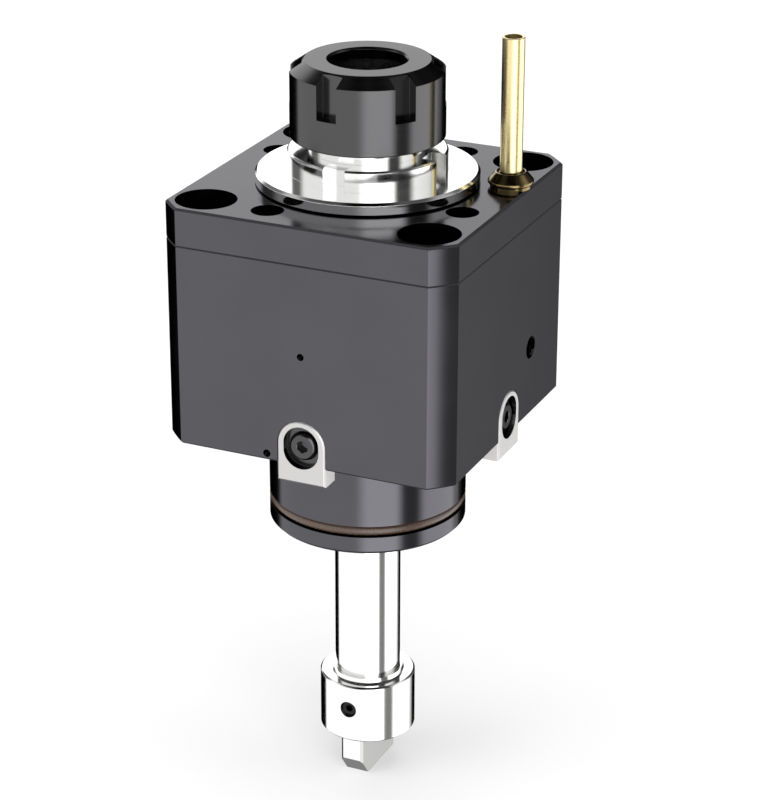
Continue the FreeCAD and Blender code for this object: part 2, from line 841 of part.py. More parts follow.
def locknut_screws():
    """Radial set screws that hold the locknut."""
    start = locknut_thread_radius + thread_clearance
    length = locknut_radius - start - locknut_screw_setback
    middle = (locknut_bottom + lower_bearing_bottom) / 2.0
    screw = set_screw(locknut_screw_radius, length, locknut_screw_radius)
    screw.rotate(origin, Vector(0, 1, 0), 90)
    screw = moved(screw, start + length, 0, middle)
    return joined(around(screw, 2, 180.0 / locknut_slot_count))


def drive_coupling():
    """Sleeve on the shaft's end with a tang below it, bevelled at its front end."""
    c = coupling_chamfer
    boss_top = coupling_top_z + coupling_boss_height
    shape = turned([
        (0, coupling_bottom),
        (coupling_radius - c, coupling_bottom), (coupling_radius, coupling_bottom + c),
        (coupling_radius, coupling_top_z - c), (coupling_radius - c, coupling_top_z),
        (coupling_boss_radius, coupling_top_z), (coupling_boss_radius - coupling_boss_draft, boss_top),
        (0, boss_top),
    ])
    tang_low = coupling_bottom - tang_depth
    side = [
        Vector(0, -tang_half_length, coupling_bottom + overcut),
        Vector(0, -tang_half_length, tang_low + tang_bevel_height),
        Vector(0, -tang_half_length + tang_bevel_inset, tang_low), Vector(0, tang_half_length, tang_low),
        Vector(0, tang_half_length, coupling_bottom + overcut),
    ]
    tang = Part.Face(Part.makePolygon(side + side[:1])).extrude(Vector(tang_width, 0, 0))
    shape = shape.fuse(moved(tang, -tang_width / 2.0))
    bore = rod(drive_shaft_radius + ring_seat_gap, shaft_end - open_gap, boss_top + overcut)
    screw_z = coupling_top_z - coupling_screw_drop
    screw_hole = Part.makeCylinder(
        coupling_screw_radius + thread_clearance, coupling_radius + overcut,
        Vector(0, -coupling_radius - overcut, screw_z), Vector(0, 1, 0),
    )
    return shape.cut(joined([bore, screw_hole, shaft_key_blank(0.0)])).removeSplitter()


def coupling_set_screw():
    screw = to_side(set_screw(coupling_screw_radius, coupling_screw_length, coupling_screw_socket_flats))
    return moved(screw, 0, -coupling_radius + coupling_screw_setback, coupling_top_z - coupling_screw_drop)


def shaft_key():
    return shaft_key_blank(ring_seat_gap)


def collet_nut():
    """Slotted nut: threaded bore, groove for the extractor ring, and a coned lip at the mouth."""
    lip_bottom = nut_top - nut_lip_thickness
    cavity_bottom = lip_bottom - nut_ring_cavity_height
    thread = nose_thread_radius + thread_clearance
    lip_radius = nut_mouth_radius + nut_lip_thickness * math.tan(math.radians(nut_lip_half_angle))
    top_flat_radius = nut_radius - nut_top_bevel_width
    cb = nut_bottom_chamfer
    shape = turned([
        (thread + nut_entry_chamfer, nut_bottom),
        (nut_radius - cb, nut_bottom), (nut_radius, nut_bottom + cb),
        (nut_radius, nut_top - nut_top_bevel_height), (top_flat_radius, nut_top),
        (nut_mouth_radius + nut_mouth_chamfer, nut_top), (nut_mouth_radius, nut_top - nut_mouth_chamfer),
        (lip_radius, lip_bottom), (nut_ring_cavity_radius, lip_bottom),
        (nut_ring_cavity_radius, cavity_bottom), (thread, cavity_bottom - nut_cavity_run_out),
        (thread, nut_bottom + nut_entry_chamfer),
    ])
    slot = Part.makeBox(
        nut_slot_depth + overcut, nut_slot_width, nut_height,
        Vector(nut_radius - nut_slot_depth, -nut_slot_width / 2.0, nut_bottom + nut_slot_floor),
    )
    return shape.cut(joined(around(slot, nut_slot_count, nut_slot_start_angle)))


def nut_extractor_ring():
    """Off-centre ring inside the nut that pulls the collet out."""
    low = nut_top - nut_lip_thickness - open_gap - extractor_ring_height
    outer = nut_ring_cavity_radius - open_gap
    high = low + extractor_ring_height
    shape = rod(outer, low, high)
    hole = rod(outer - extractor_ring_wall, low - overcut, high + overcut, extractor_ring_offset)
    return shape.cut(hole)


def key_well():
    """Cutter for the wide step of a key's well, an upright oblong that leaves room to shift the key."""
    depth = key_well_depth + overcut
    low = key_screw_z - key_well_stretch
    shape = Part.makeBox(
        2 * key_well_radius, depth, 2 * key_well_stretch, Vector(-key_well_radius, -overcut, low),
    )
    for height in (low, low + 2 * key_well_stretch):
        end = Part.makeCylinder(key_well_radius, depth, Vector(0, -overcut, height), Vector(0, 1, 0))
        shape = shape.fuse(end)
    return shape


def locating_key():
    """Key on the front side, with its stepped screw well."""
    shape = key_outline(0.0).extrude(Vector(0, key_thickness, 0))
    rim = [
        edge for edge in shape.Edges
        if all(abs(vertex.Point.y) < 1e-6 for vertex in edge.Vertexes)
    ]
    shape = shape.makeChamfer(key_chamfer, rim)
    steps = (
        (key_bore_radius, key_bore_depth),
        (key_screw_thread_radius + screw_hole_clearance, key_thickness + overcut),
    )
    start = Vector(0, -overcut, key_screw_z)
    cutters = [Part.makeCylinder(radius, depth + overcut, start, Vector(0, 1, 0)) for radius, depth in steps]
    shape = shape.cut(key_well()).cut(joined(cutters))
    return moved(shape, y=-half_width - key_proud)


def key_screws():
    screw = to_side(cap_screw(
        key_screw_thread_radius, key_screw_length, key_screw_head_radius,
        key_screw_head_height, key_screw_socket_flats,
    ))
    return joined(around(moved(screw, 0, key_screw_seat(), key_screw_z), 4))


def coolant_plug():
    screw = set_screw(plug_radius, plug_length, plug_socket_flats)
    screw.rotate(origin, Vector(0, 1, 0), 90)
    return moved(screw, half_width - plug_setback, cross_bore_y, cross_bore_z)


def nozzle_seat_ball(radius):
    return Part.makeSphere(radius, Vector(nozzle_x, nozzle_y, nozzle_ball_z))


def nozzle_body():
    """Threaded stub with a flange and the lower half of the ball seat."""
    flange_top_z = cover_top_z + nozzle_flange_height
    neck_top = flange_top_z + nozzle_neck_height
    stub_low = cover_top_z - nozzle_stub_length
    shape = turned([
        (coolant_bore_radius, stub_low), (nozzle_stub_radius - nozzle_stub_chamfer, stub_low),
        (nozzle_stub_radius, stub_low + nozzle_stub_chamfer), (nozzle_stub_radius, cover_top_z),
        (nozzle_flange_radius, cover_top_z), (nozzle_flange_radius, flange_top_z - nozzle_flange_chamfer),
        (nozzle_flange_radius - nozzle_flange_chamfer, flange_top_z), (nozzle_neck_radius, flange_top_z),
        (nozzle_neck_radius, neck_top), (coolant_bore_radius, neck_top),
    ])
    shape = moved(shape, nozzle_x, nozzle_y)
    seat_radius = nozzle_ball_radius + nozzle_ball_gap
    opening = rod(seat_radius, nozzle_ball_z, neck_top + overcut, nozzle_x, nozzle_y)
    seal_seat = nozzle_seal_seat(nozzle_ball_z - nozzle_ball_radius)
    return shape.cut(joined([nozzle_seat_ball(seat_radius), opening, seal_seat]))


def nozzle_seal_centre():
    """Radius and height of the ring that touches the ball from below."""
    radius = coolant_bore_radius + nozzle_seal_offset
    reach = nozzle_ball_radius + nozzle_ball_gap + nozzle_seal_section_radius
    drop = math.sqrt(reach ** 2 - radius ** 2)
    return radius, nozzle_ball_z - drop


def nozzle_seal_seat(low):
    """Groove that holds the ring under the ball."""
    radius, height = nozzle_seal_centre()
    section = nozzle_seal_section_radius
    return rod(radius + section, height - section, low + section * 2, nozzle_x, nozzle_y)


def nozzle_seal():
    radius, height = nozzle_seal_centre()
    return moved(torus_ring(radius, nozzle_seal_section_radius, height), nozzle_x, nozzle_y)


def nozzle_cap():
    """Coned cap nut that holds the ball down; its mouth leaves room for the tube to swing."""
    low = cover_top_z + nozzle_flange_height
    high = low + nozzle_cap_height
    c = nozzle_cap_chamfer
    shape = turned([
        (0, low), (nozzle_cap_radius - c, low), (nozzle_cap_radius, low + c),
        (nozzle_cap_radius, low + nozzle_cap_rim_height),
        (nozzle_cap_top_radius, high - c), (nozzle_cap_top_radius - c, high), (0, high),
    ])
    neck_top = low + nozzle_neck_height
    neck_room = rod(nozzle_neck_radius + thread_clearance, low - overcut, neck_top + thread_clearance)
    widening = math.tan(math.radians(nozzle_swing_angle)) * nozzle_cap_mouth_depth
    mouth = Part.makeCone(
        nozzle_cap_mouth_radius, nozzle_cap_mouth_radius + widening, nozzle_cap_mouth_depth,
        Vector(0, 0, nozzle_ball_z + nozzle_cap_mouth_height), z_axis,
    )
    seat = Part.makeSphere(nozzle_ball_radius + nozzle_ball_gap, Vector(0, 0, nozzle_ball_z))
    return moved(shape.cut(joined([neck_room, mouth, seat])), nozzle_x, nozzle_y)


def nozzle_ball():
    """Ball with a drilled way and a socket for the tube, cut flat below."""
    low = nozzle_ball_z - nozzle_ball_radius - overcut
    high = nozzle_ball_z + nozzle_ball_radius + overcut
    way = rod(tube_bore_radius, low, high, nozzle_x, nozzle_y)
    socket = rod(tube_radius + ring_seat_gap, tube_bottom_z, high, nozzle_x, nozzle_y)
    return nozzle_seat_ball(nozzle_ball_radius).cut(joined([way, socket]))


def coolant_tube():
    shape = ring(tube_bore_radius, tube_radius, tube_bottom_z, tube_top_z, tube_end_chamfer)
    return moved(shape, nozzle_x, nozzle_y)


nodes = {
    "housing_body": housing_body(),
    "front_cover": front_cover(),
    "cover_screws": cover_screws(),
    "cover_o_ring": cover_o_ring(),
    "riser_o_ring": riser_o_ring(),
    "spigot_o_ring": spigot_o_ring(),
    "inlet_o_ring": inlet_o_ring(),
    "front_shaft_seal": front_shaft_seal(),
    "front_seal_spring": front_seal_spring(),
    "rear_shaft_seal": rear_shaft_seal(),
    "rear_seal_spring": rear_seal_spring(),
    "bearing_outer_spacer": outer_spacer(),
    "bearing_inner_spacer": inner_spacer(),
    "rear_snap_ring": rear_snap_ring(),
    "shaft_snap_ring": shaft_snap_ring(),
    "spindle_shaft": spindle_shaft(),
    "bearing_locknut": bearing_locknut(),
    "locknut_screws": locknut_screws(),
    "drive_coupling": drive_coupling(),
    "coupling_set_screw": coupling_set_screw(),
    "shaft_key": shaft_key(),
    "collet_nut": collet_nut(),
    "nut_extractor_ring": nut_extractor_ring(),
    "key_screws": key_screws(),
    "coolant_plug": coolant_plug(),
    "nozzle_body": nozzle_body(),
    "nozzle_seal": nozzle_seal(),
    "nozzle_cap": nozzle_cap(),
    "nozzle_ball": nozzle_ball(),
    "coolant_tube": coolant_tube(),
}

bearing_places = {
    "upper_bearing": (front_bearing, upper_bearing_bottom),
    "lower_bearing": (front_bearing, lower_bearing_bottom),
    "rear_bearing": (rear_bearing, rear_bearing_bottom),
}
for name, (bearing, low) in bearing_places.items():
    nodes[name + "_outer_ring"] = bearing_outer_ring(bearing, low)
    nodes[name + "_inner_ring"] = bearing_inner_ring(bearing, low)
    nodes[name + "_cage"] = bearing_cage(bearing, low)
    nodes[name + "_balls"] = bearing_balls(bearing, low)

for index, side in enumerate(("front", "right", "back", "left")):
    nodes["locating_key_" + side] = spun(locating_key(), 90 * index)

os.makedirs("parts", exist_ok=True)
for name, shape in nodes.items():
    shape.exportStep("parts/" + name + ".step")
    print(name, round(shape.Volume, 1), len(shape.Solids), shape.isValid())
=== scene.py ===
import json
import math

import bpy
from bpy.props import FloatProperty, FloatVectorProperty, IntProperty, PointerProperty
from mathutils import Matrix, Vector


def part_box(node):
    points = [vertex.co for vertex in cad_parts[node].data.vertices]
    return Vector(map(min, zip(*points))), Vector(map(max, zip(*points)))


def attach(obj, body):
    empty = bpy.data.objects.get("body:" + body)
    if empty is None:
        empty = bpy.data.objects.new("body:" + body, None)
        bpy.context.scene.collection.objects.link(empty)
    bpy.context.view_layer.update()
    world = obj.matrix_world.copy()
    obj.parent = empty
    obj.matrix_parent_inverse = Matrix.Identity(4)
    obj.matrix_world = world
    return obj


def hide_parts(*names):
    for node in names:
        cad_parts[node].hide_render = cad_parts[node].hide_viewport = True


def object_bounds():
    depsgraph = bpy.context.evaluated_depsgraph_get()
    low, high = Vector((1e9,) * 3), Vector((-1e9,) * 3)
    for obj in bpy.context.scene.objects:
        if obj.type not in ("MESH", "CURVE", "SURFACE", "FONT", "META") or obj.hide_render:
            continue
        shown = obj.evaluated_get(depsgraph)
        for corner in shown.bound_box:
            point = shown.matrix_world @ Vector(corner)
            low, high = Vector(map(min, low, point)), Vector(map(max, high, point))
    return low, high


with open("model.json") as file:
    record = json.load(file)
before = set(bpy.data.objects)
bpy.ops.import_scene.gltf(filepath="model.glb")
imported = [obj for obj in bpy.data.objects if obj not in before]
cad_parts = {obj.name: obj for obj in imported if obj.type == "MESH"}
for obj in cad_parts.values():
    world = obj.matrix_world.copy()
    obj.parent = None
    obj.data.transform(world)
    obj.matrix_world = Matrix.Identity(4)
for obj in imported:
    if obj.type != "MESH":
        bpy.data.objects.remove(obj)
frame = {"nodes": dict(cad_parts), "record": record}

cad_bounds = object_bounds()

bl_info = {
    "name": "Axial Driven Tool Holder",
    "version": (1, 0, 0),
    "blender": (4, 5, 0),
    "location": "View3D > Sidebar > Tool Holder",
    "description": "Models and finishes the pieces of an axial driven tool holder, with its studio",
    "category": "Object",
}

MM = 0.001
FULL_TURN = 2 * math.pi
SHARP_ANGLE = math.radians(30)
FLAT_ANGLE = math.radians(1)
MERGE = 0.001 * MM
TOUCH = 0.01 * MM
CUT_OVER = 1.0 * MM
TURNED_SEGMENTS = 160
SMALL_SEGMENTS = 64
THREAD_STEPS = 96

# Broken edges, as a deburring tool leaves them
NUT_EDGE = 0.18 * MM
COUPLING_EDGE = 0.15 * MM
KEY_EDGE = 0.08 * MM
COVER_SCREW_EDGE = 0.08 * MM
SMALL_SCREW_EDGE = 0.06 * MM
CAP_EDGE = 0.2 * MM
TUBE_EDGE = 0.15 * MM
BROKEN_EDGE = 0.15 * MM

# Plays between pieces
SHAFT_PLAY = 0.02 * MM
THREAD_PLAY = 0.05 * MM
FLOOR_GAP = 0.02 * MM

# Nose thread: width of a ridge at its foot and crest as shares of the pitch, and how deep it sits in the core
THREAD_FOOT = 0.92
THREAD_CREST = 0.14
THREAD_SINK = 0.1 * MM

# Screws
COVER_SCREWS = 4
COVER_SCREW_CIRCLE = 35.8 * MM
COVER_SCREW_ANGLE = math.radians(-22)
COVER_HEAD_RADIUS = 4.15 * MM
COVER_SHANK_RADIUS = 2.5 * MM
KEY_HEAD_RADIUS = 3.8 * MM
KEY_SHANK_RADIUS = 2.0 * MM
KEY_SCREW_REACH = 14.0 * MM
HEAD_EDGE_SHARE = 0.08
SOCKET_MOUTH_SHARE = 1.08
SOCKET_MOUTH_DEPTH_SHARE = 0.62

# Surfaces: range in which a noise mostly lies, depth of the fine relief, how much of the glancing reflection
# black oxide keeps, and which slopes count as a chamfer, which is rougher than the ground faces
NOISE_LOW = 0.3
NOISE_HIGH = 0.7
RELIEF_DEPTH = 0.02 * MM
OXIDE_RIM = 0.7
# Painted shade: screws deep in their wells keep almost none of the glancing reflection, which darkens them
PAINTED_SHADE_RIM = 0.1
CHAMFER_SLOPE = 0.7
CHAMFER_SLOPE_REACH = 0.2
CHAMFER_ROUGHNESS = 0.5

# Brightness of the studio's walls round the object, as (share of the turn from back over left, front and
# right to back again, level); half way is straight in front of the block's front side
LOWER_WALLS = [
    (0.0, 0.0), (0.213, 0.0), (0.232, 0.45), (0.53, 0.45), (0.565, 1.0), (0.662, 1.0), (0.688, 0.09),
    (0.735, 0.08), (0.765, 0.80), (0.89, 0.85), (0.915, 0.32), (0.94, 0.17), (0.957, 0.0), (1.0, 0.0),
]
# The same above the horizon, where the wall behind the object's left side is bright too
UPPER_WALLS = [
    (0.0, 0.0), (0.03, 0.10), (0.05, 0.55), (0.08, 0.60), (0.12, 0.75), (0.17, 0.70), (0.195, 0.06),
    (0.25, 0.06), (0.285, 0.45), (0.53, 0.45), (0.565, 1.0), (0.662, 1.0), (0.685, 0.02), (0.738, 0.02),
    (0.765, 0.50), (0.84, 0.40), (0.89, 0.05), (1.0, 0.0),
]
# By height from straight down (0) to straight up (1): share of the upper walls, and how far the floor and
# the ceiling dim them
UPPER_SHARE = [(0.0, 1.0), (0.10, 1.0), (0.16, 0.0), (0.50, 0.0), (0.60, 1.0), (1.0, 1.0)]
CEILING = [(0.0, 0.12), (0.09, 0.12), (0.2, 1.0), (0.80, 1.0), (0.90, 0.0), (1.0, 0.0)]
# Level of the ceiling by the same turn, with a bright panel behind the object, and its share by height
CEILING_SIDES = [
    (0.0, 0.35), (0.15, 0.35), (0.2, 0.03), (0.42, 0.03), (0.47, 0.0), (0.67, 0.0), (0.72, 0.03),
    (0.93, 0.03), (0.97, 0.35), (1.0, 0.35),
]
CEILING_HEIGHT = [(0.0, 0.0), (0.86, 0.0), (0.91, 1.0), (0.977, 1.0), (0.989, 0.06), (1.0, 0.06)]
# Name, place in metres, size in metres and watts
SOFT_LIGHTS = [("overhead", (0.1, -0.1, 1.4), 1.6, 26.0), ("left", (-1.1, -1.1, 0.9), 1.2, 12.0)]


# Sizes and colours that a user may change

def length(name, millimetres, description):
    """A size given in millimetres and kept in metres."""
    return FloatProperty(
        name=name, description=description, default=millimetres * MM, min=0.0, precision=5, unit="LENGTH",
    )


def linear(code):
    """sRGB hex code turned to the linear colour that the shaders take."""
    channels = []
    for start in (0, 2, 4):
        value = int(code[start:start + 2], 16) / 255
        channels.append(value / 12.92 if value <= 0.04045 else ((value + 0.055) / 1.055) ** 2.4)
    return (*channels, 1.0)


def colour(name, code, description):
    """A colour given as sRGB hex code."""
    return FloatVectorProperty(
        name=name, description=description, default=linear(code), size=4, min=0.0, max=1.0, subtype="COLOR",
    )


class SpindleSizes(bpy.types.PropertyGroup):
    """Sizes of the spindle; what the CAD boxes give isn't repeated here"""
    shaft_radius: length("Shaft Radius", 9.3, "Radius of the drive shaft below the rear bearing")
    rear_seat_radius: length("Rear Seat Radius", 10.0, "Radius of the rear bearing's seat")
    snap_groove_depth: length("Snap Groove Depth", 0.6, "Depth of the groove for the shaft's snap ring")
    rear_shoulder_radius: length("Rear Shoulder Radius", 12.0, "Radius of the shoulder by the rear bearing")
    middle_radius: length("Middle Radius", 13.5, "Radius of the shaft between the bearings")
    locknut_thread_radius: length("Locknut Thread Radius", 17.0, "Radius of the locknut's thread")
    front_seat_radius: length("Front Seat Radius", 17.5, "Radius of the front bearings' seat")
    seal_land_radius: length("Seal Land Radius", 20.5, "Radius on which the front seal's lip runs")
    flange_thickness: length("Flange Thickness", 3.35, "Thickness of the flange over the front cover")
    flange_lift: length("Flange Lift", 0.3, "Gap between the front cover and the flange")
    flange_chamfer: length("Flange Chamfer", 0.7, "Chamfer on the flange's top edge, half as wide below")
    collar_radius: length("Collar Radius", 21.6, "Radius of the collar with the spanner notches")
    collar_height: length("Collar Height", 5.7, "Height of the collar over the flange")
    collar_chamfer: length("Collar Chamfer", 0.5, "Chamfer on the collar's top edge")
    notch_width: length("Notch Width", 6.2, "Width of a spanner notch")
    notch_depth: length("Notch Depth", 4.4, "Depth of a spanner notch")
    neck_length: length("Neck Length", 3.2, "Length of the neck between collar and thread")
    thread_radius: length("Thread Radius", 16.0, "Outer radius of the nose thread")
    thread_pitch: length("Thread Pitch", 1.5, "Pitch of the nose thread")
    thread_depth: length("Thread Depth", 0.85, "Depth of the nose thread")
    taper_mouth_radius: length("Taper Mouth Radius", 13.0, "Radius of the collet taper at the nose")
    taper_length: length("Taper Length", 30.0, "Length of the collet taper")
    taper_end_radius: length("Taper End Radius", 8.8, "Radius of the taper at its inner end")
    relief_radius: length("Relief Radius", 7.0, "Radius of the drilling behind the taper")
    relief_depth: length("Relief Depth", 6.0, "Depth of the drilling behind the taper")
    notch_count: IntProperty(name="Notch Count", description="Number of spanner notches", default=4, min=1)


class NutSizes(bpy.types.PropertyGroup):
    """Sizes of the collet nut"""
    top_bevel_width: length("Top Bevel Width", 4.05, "Width of the wide bevel round the nut's face")
    top_bevel_height: length("Top Bevel Height", 2.8, "Height of the wide bevel round the nut's face")
    mouth_radius: length("Mouth Radius", 10.4, "Radius of the hole that the tool passes")
    mouth_chamfer: length("Mouth Chamfer", 0.6, "Chamfer on the mouth's edge")
    lip_thickness: length("Lip Thickness", 3.3, "Thickness of the lip over the collet")
    lip_back_radius: length("Lip Back Radius", 12.3, "Radius of the coned lip on its inner side")
    cavity_radius: length("Cavity Radius", 14.6, "Radius of the groove for the extractor ring")
    cavity_height: length("Cavity Height", 3.6, "Height of the groove for the extractor ring")
    bore_radius: length("Bore Radius", 16.05, "Radius of the threaded bore")
    bottom_chamfer: length("Bottom Chamfer", 0.3, "Chamfer on the nut's lower edge")
    slot_width: length("Slot Width", 6.0, "Width of a wrench slot")
    slot_depth: length("Slot Depth", 3.5, "Depth of a wrench slot")
    slot_floor: length("Slot Floor", 8.8, "Height of the slots' floor over the nut's lower face")
    slot_count: IntProperty(name="Slot Count", description="Number of wrench slots", default=6, min=1)
    slot_angle: FloatProperty(
        name="Slot Angle", description="Direction of the first wrench slot", default=math.radians(-96.9),
        subtype="ANGLE",
    )


class CouplingSizes(bpy.types.PropertyGroup):
    """Sizes of the drive coupling and its tang"""
    tang_depth: length("Tang Depth", 13.1, "How far the tang reaches below the sleeve")
    tang_edge: length("Tang Edge", 0.8, "Chamfer on the tang's upright edges")
    tang_width: length("Tang Width", 6.7, "Width of the tang across its flats")
    tang_length: length("Tang Length", 22.8, "Length of the tang across the sleeve")
    tang_bevel_inset: length("Tang Bevel Inset", 5.1, "How far the tang's bevel reaches along its lower edge")
    tang_bevel_height: length("Tang Bevel Height", 5.7, "How far the tang's bevel reaches up")
    chamfer: length("Chamfer", 0.5, "Chamfer on the sleeve's two edges")
    boss_radius: length("Boss Radius", 10.4, "Radius of the boss on top of the sleeve")
    boss_height: length("Boss Height", 1.2, "Height of the boss on top of the sleeve")
    screw_drop: length("Screw Drop", 7.6, "How far the set screw lies below the sleeve's top")
    screw_radius: length("Screw Radius", 2.4, "Thread radius of the set screw")


class KeySizes(bpy.types.PropertyGroup):
    """Sizes of a locating key and its well"""
    edge_chamfer: length("Edge Chamfer", 0.5, "Chamfer round the key's outer face")
    well_radius: length("Well Radius", 5.1, "Radius of the wide step of the screw's well")
    well_depth: length("Well Depth", 2.2, "Depth of the wide step of the screw's well")
    bore_radius: length("Bore Radius", 4.1, "Radius of the narrow step, round the screw's head")
    bore_depth: length("Bore Depth", 4.3, "Depth of the screw head's seat")
    well_stretch: length("Well Stretch", 0.9, "Half the distance between the well's two round ends")
    screw_height: length("Screw Height", 5.35, "Height of the screw's axis over the mounting face")


class NozzleSizes(bpy.types.PropertyGroup):
    """Sizes of the coolant nozzle"""
    ball_radius: length("Ball Radius", 4.2, "Radius of the swivel ball")
    cap_rim_height: length("Cap Rim Height", 0.95, "Height of the cap's rim, where its cone begins")
    cap_top_radius: length("Cap Top Radius", 4.4, "Radius of the cap's top")
    cap_chamfer: length("Cap Chamfer", 0.3, "Chamfer on the cap's edges")
    cap_mouth_radius: length("Cap Mouth Radius", 3.75, "Radius of the hole that the tube passes")
    bore_radius: length("Bore Radius", 2.3, "Radius of the coolant way")
    cap_gap: length("Cap Gap", 0.02, "Play between the cap and the ball")


class ScrewSizes(bpy.types.PropertyGroup):
    """Sizes of the screws and the plug"""
    cover_head_height: length("Cover Head Height", 5.0, "Head height of the cover's screws")
    cover_hex_width: length("Cover Hex Width", 4.0, "Width across flats of the cover screws' sockets")
    key_head_height: length("Key Head Height", 3.6, "Head height of the key screws")
    key_hex_width: length("Key Hex Width", 3.0, "Width across flats of the key screws' sockets")
    plug_hex_width: length("Plug Hex Width", 3.0, "Width across flats of the coolant plug's socket")
    hex_depth_share: FloatProperty(
        name="Hex Depth", description="Depth of a socket as a share of the head's height", default=0.6,
        min=0.0,
    )


class Finishes(bpy.types.PropertyGroup):
    """Base colours of the finishes"""
    block_oxide: colour("Block Oxide", "4E4D51", "Black oxide on the ground block")
    nut_oxide: colour("Nut Oxide", "4B4B4C", "Black oxide on the turned nut")
    screw_oxide: colour("Screw Oxide", "2B2B2C", "Black oxide on screws")
    # Painted shade: a nearly black copy of the screw oxide for screws deep in their wells
    painted_shade_screw_oxide: colour("Sunk Screw Oxide", "0C0C0D", "Oily black oxide on screws deep in their wells")
    polished_steel: colour("Polished Steel", "D9D9D8", "Ground and polished steel of the spindle")
    bearing_steel: colour("Bearing Steel", "CFCFD1", "Ground bearing steel")
    key_steel: colour("Key Steel", "C2C1C0", "Surface ground steel of the keys")
    spring_steel: colour("Spring Steel", "3E3F41", "Oiled spring steel")
    brass: colour("Brass", "DCCB98", "Drawn brass of the coolant tube")
    bronze: colour("Bronze", "7D6E4A", "Darkened bronze of the nozzle")
    cage_brass: colour("Cage Brass", "D9B76B", "Machined brass of the ball cages")
    nitrile: colour("Nitrile Rubber", "202021", "Black nitrile rubber of the seals")
    fluoro_rubber: colour("Fluoro Rubber", "4C3C32", "Brown fluoro rubber of the spigot's ring")


class StudioSettings(bpy.types.PropertyGroup):
    """Camera, walls and floor of the studio"""
    camera_place: FloatVectorProperty(
        name="Camera Place", description="Where the camera stands", default=(0.2917, -0.6323, 0.3027),
        subtype="TRANSLATION",
    )
    camera_target_height: FloatProperty(
        name="Target Height", description="Height of the point on the spindle's axis that the camera aims at",
        default=0.00283, unit="LENGTH",
    )
    lens: FloatProperty(name="Lens", description="Focal length in millimetres", default=123.08, unit="CAMERA")
    shift: FloatProperty(name="Shift", description="Sideways shift of the lens", default=0.0140)
    wall_level: FloatProperty(
        name="Wall Level", description="Brightness of the studio's brightest wall in reflections",
        default=3.36,
    )
    floor_glow: FloatProperty(
        name="Floor Glow", description="Light that the floor gives of itself, which weakens the shadow",
        default=0.36,
    )
    floor_radius: length("Floor Radius", 3000.0, "Radius of the pale floor")


# Small modelling steps, each one as it is done by hand

def select_only(piece):
    """Back to object mode with this one piece selected and active."""
    if bpy.context.mode != "OBJECT":
        bpy.ops.object.mode_set(mode="OBJECT")
    bpy.ops.object.select_all(action="DESELECT")
    piece.select_set(True)
    bpy.context.view_layer.objects.active = piece


def deselect_all():
    """A new primitive joins what is selected, so nothing is."""
    bpy.ops.object.select_all(action="DESELECT")


def turned(name, outline, axis=(0.0, 0.0), segments=TURNED_SEGMENTS, ring=False):
    """Turns an outline of (radius, height) points about an upright axis; a ring's outline is closed."""
    deselect_all()
    x, y = axis
    radius, height = outline[0]
    bpy.ops.mesh.primitive_circle_add(
        vertices=segments, radius=radius, location=(x, y, height), fill_type="NOTHING" if ring else "NGON",
    )
    piece = bpy.context.active_object
    piece.name = name
    bpy.ops.object.mode_set(mode="EDIT")
    bpy.ops.mesh.select_mode(type="EDGE")
    bpy.ops.mesh.select_all(action="SELECT")
    for next_radius, next_height in outline[1:] + (outline[:1] if ring else []):
        bpy.ops.mesh.extrude_edges_move(TRANSFORM_OT_translate={"value": (0, 0, next_height - height)})
        share = next_radius / radius
        bpy.ops.transform.resize(value=(share, share, 1), center_override=(x, y, next_height))
        radius, height = next_radius, next_height
    if not ring:
        bpy.ops.mesh.edge_face_add()
    close_up()
    return piece


def close_up():
    """Ends edit mode: merges points that coincide and turns all faces outwards."""
    bpy.ops.mesh.select_all(action="SELECT")
    bpy.ops.mesh.remove_doubles(threshold=MERGE)
    bpy.ops.mesh.normals_make_consistent(inside=False)
    bpy.ops.object.mode_set(mode="OBJECT")


def box_piece(name, low, high):
    """Cube primitive between two corners."""
    deselect_all()
    low, high = Vector(low), Vector(high)
    bpy.ops.mesh.primitive_cube_add(size=1, location=(low + high) / 2, scale=high - low)
    piece = bpy.context.active_object
    piece.name = name
    apply_place(piece)
    return piece


def rod_piece(name, radius, start, end, segments=SMALL_SEGMENTS):
    """Cylinder primitive from one point to another."""
    deselect_all()
    start, end = Vector(start), Vector(end)
    turn = (end - start).to_track_quat("Z", "Y").to_euler()
    bpy.ops.mesh.primitive_cylinder_add(
        vertices=segments, radius=radius, depth=(end - start).length, location=(start + end) / 2,
        rotation=turn,
    )
    piece = bpy.context.active_object
    piece.name = name
    apply_place(piece)
    return piece


def apply_place(piece):
    """Moves place, turn and scale into the mesh, so the object sits at the origin."""
    select_only(piece)
    bpy.ops.object.transform_apply(location=True, rotation=True, scale=True)


def apply_modifier(piece, kind, **settings):
    """Adds a modifier with its settings and applies it."""
    select_only(piece)
    modifier = piece.modifiers.new(kind.title(), kind)
    for name, value in settings.items():
        setattr(modifier, name, value)
    bpy.ops.object.modifier_apply(modifier=modifier.name)


def boolean(piece, tool, operation="DIFFERENCE"):
    """Cuts or joins with a tool body, which is then thrown away."""
    apply_modifier(piece, "BOOLEAN", operation=operation, solver="EXACT", object=tool)
    bpy.data.objects.remove(tool)


def start_selecting(piece, kind):
    """Sets edit mode to points or edges with none selected, and comes back for code to select them."""
    select_only(piece)
    bpy.ops.object.mode_set(mode="EDIT")
    bpy.ops.mesh.select_mode(type=kind)
    bpy.ops.mesh.select_all(action="DESELECT")
    bpy.ops.object.mode_set(mode="OBJECT")


def select_points(piece, test):
    """Goes to edit mode with the points for which the test of their place holds."""
    start_selecting(piece, "VERT")
    for point in piece.data.vertices:
        point.select = test(point.co)
    bpy.ops.object.mode_set(mode="EDIT")


def select_edges(piece, test):
    """Goes to edit mode with the edges for which the test of their two ends holds."""
    start_selecting(piece, "EDGE")
    for edge in piece.data.edges:
        edge.select = test(*(piece.data.vertices[index].co for index in edge.vertices))
    bpy.ops.object.mode_set(mode="EDIT")


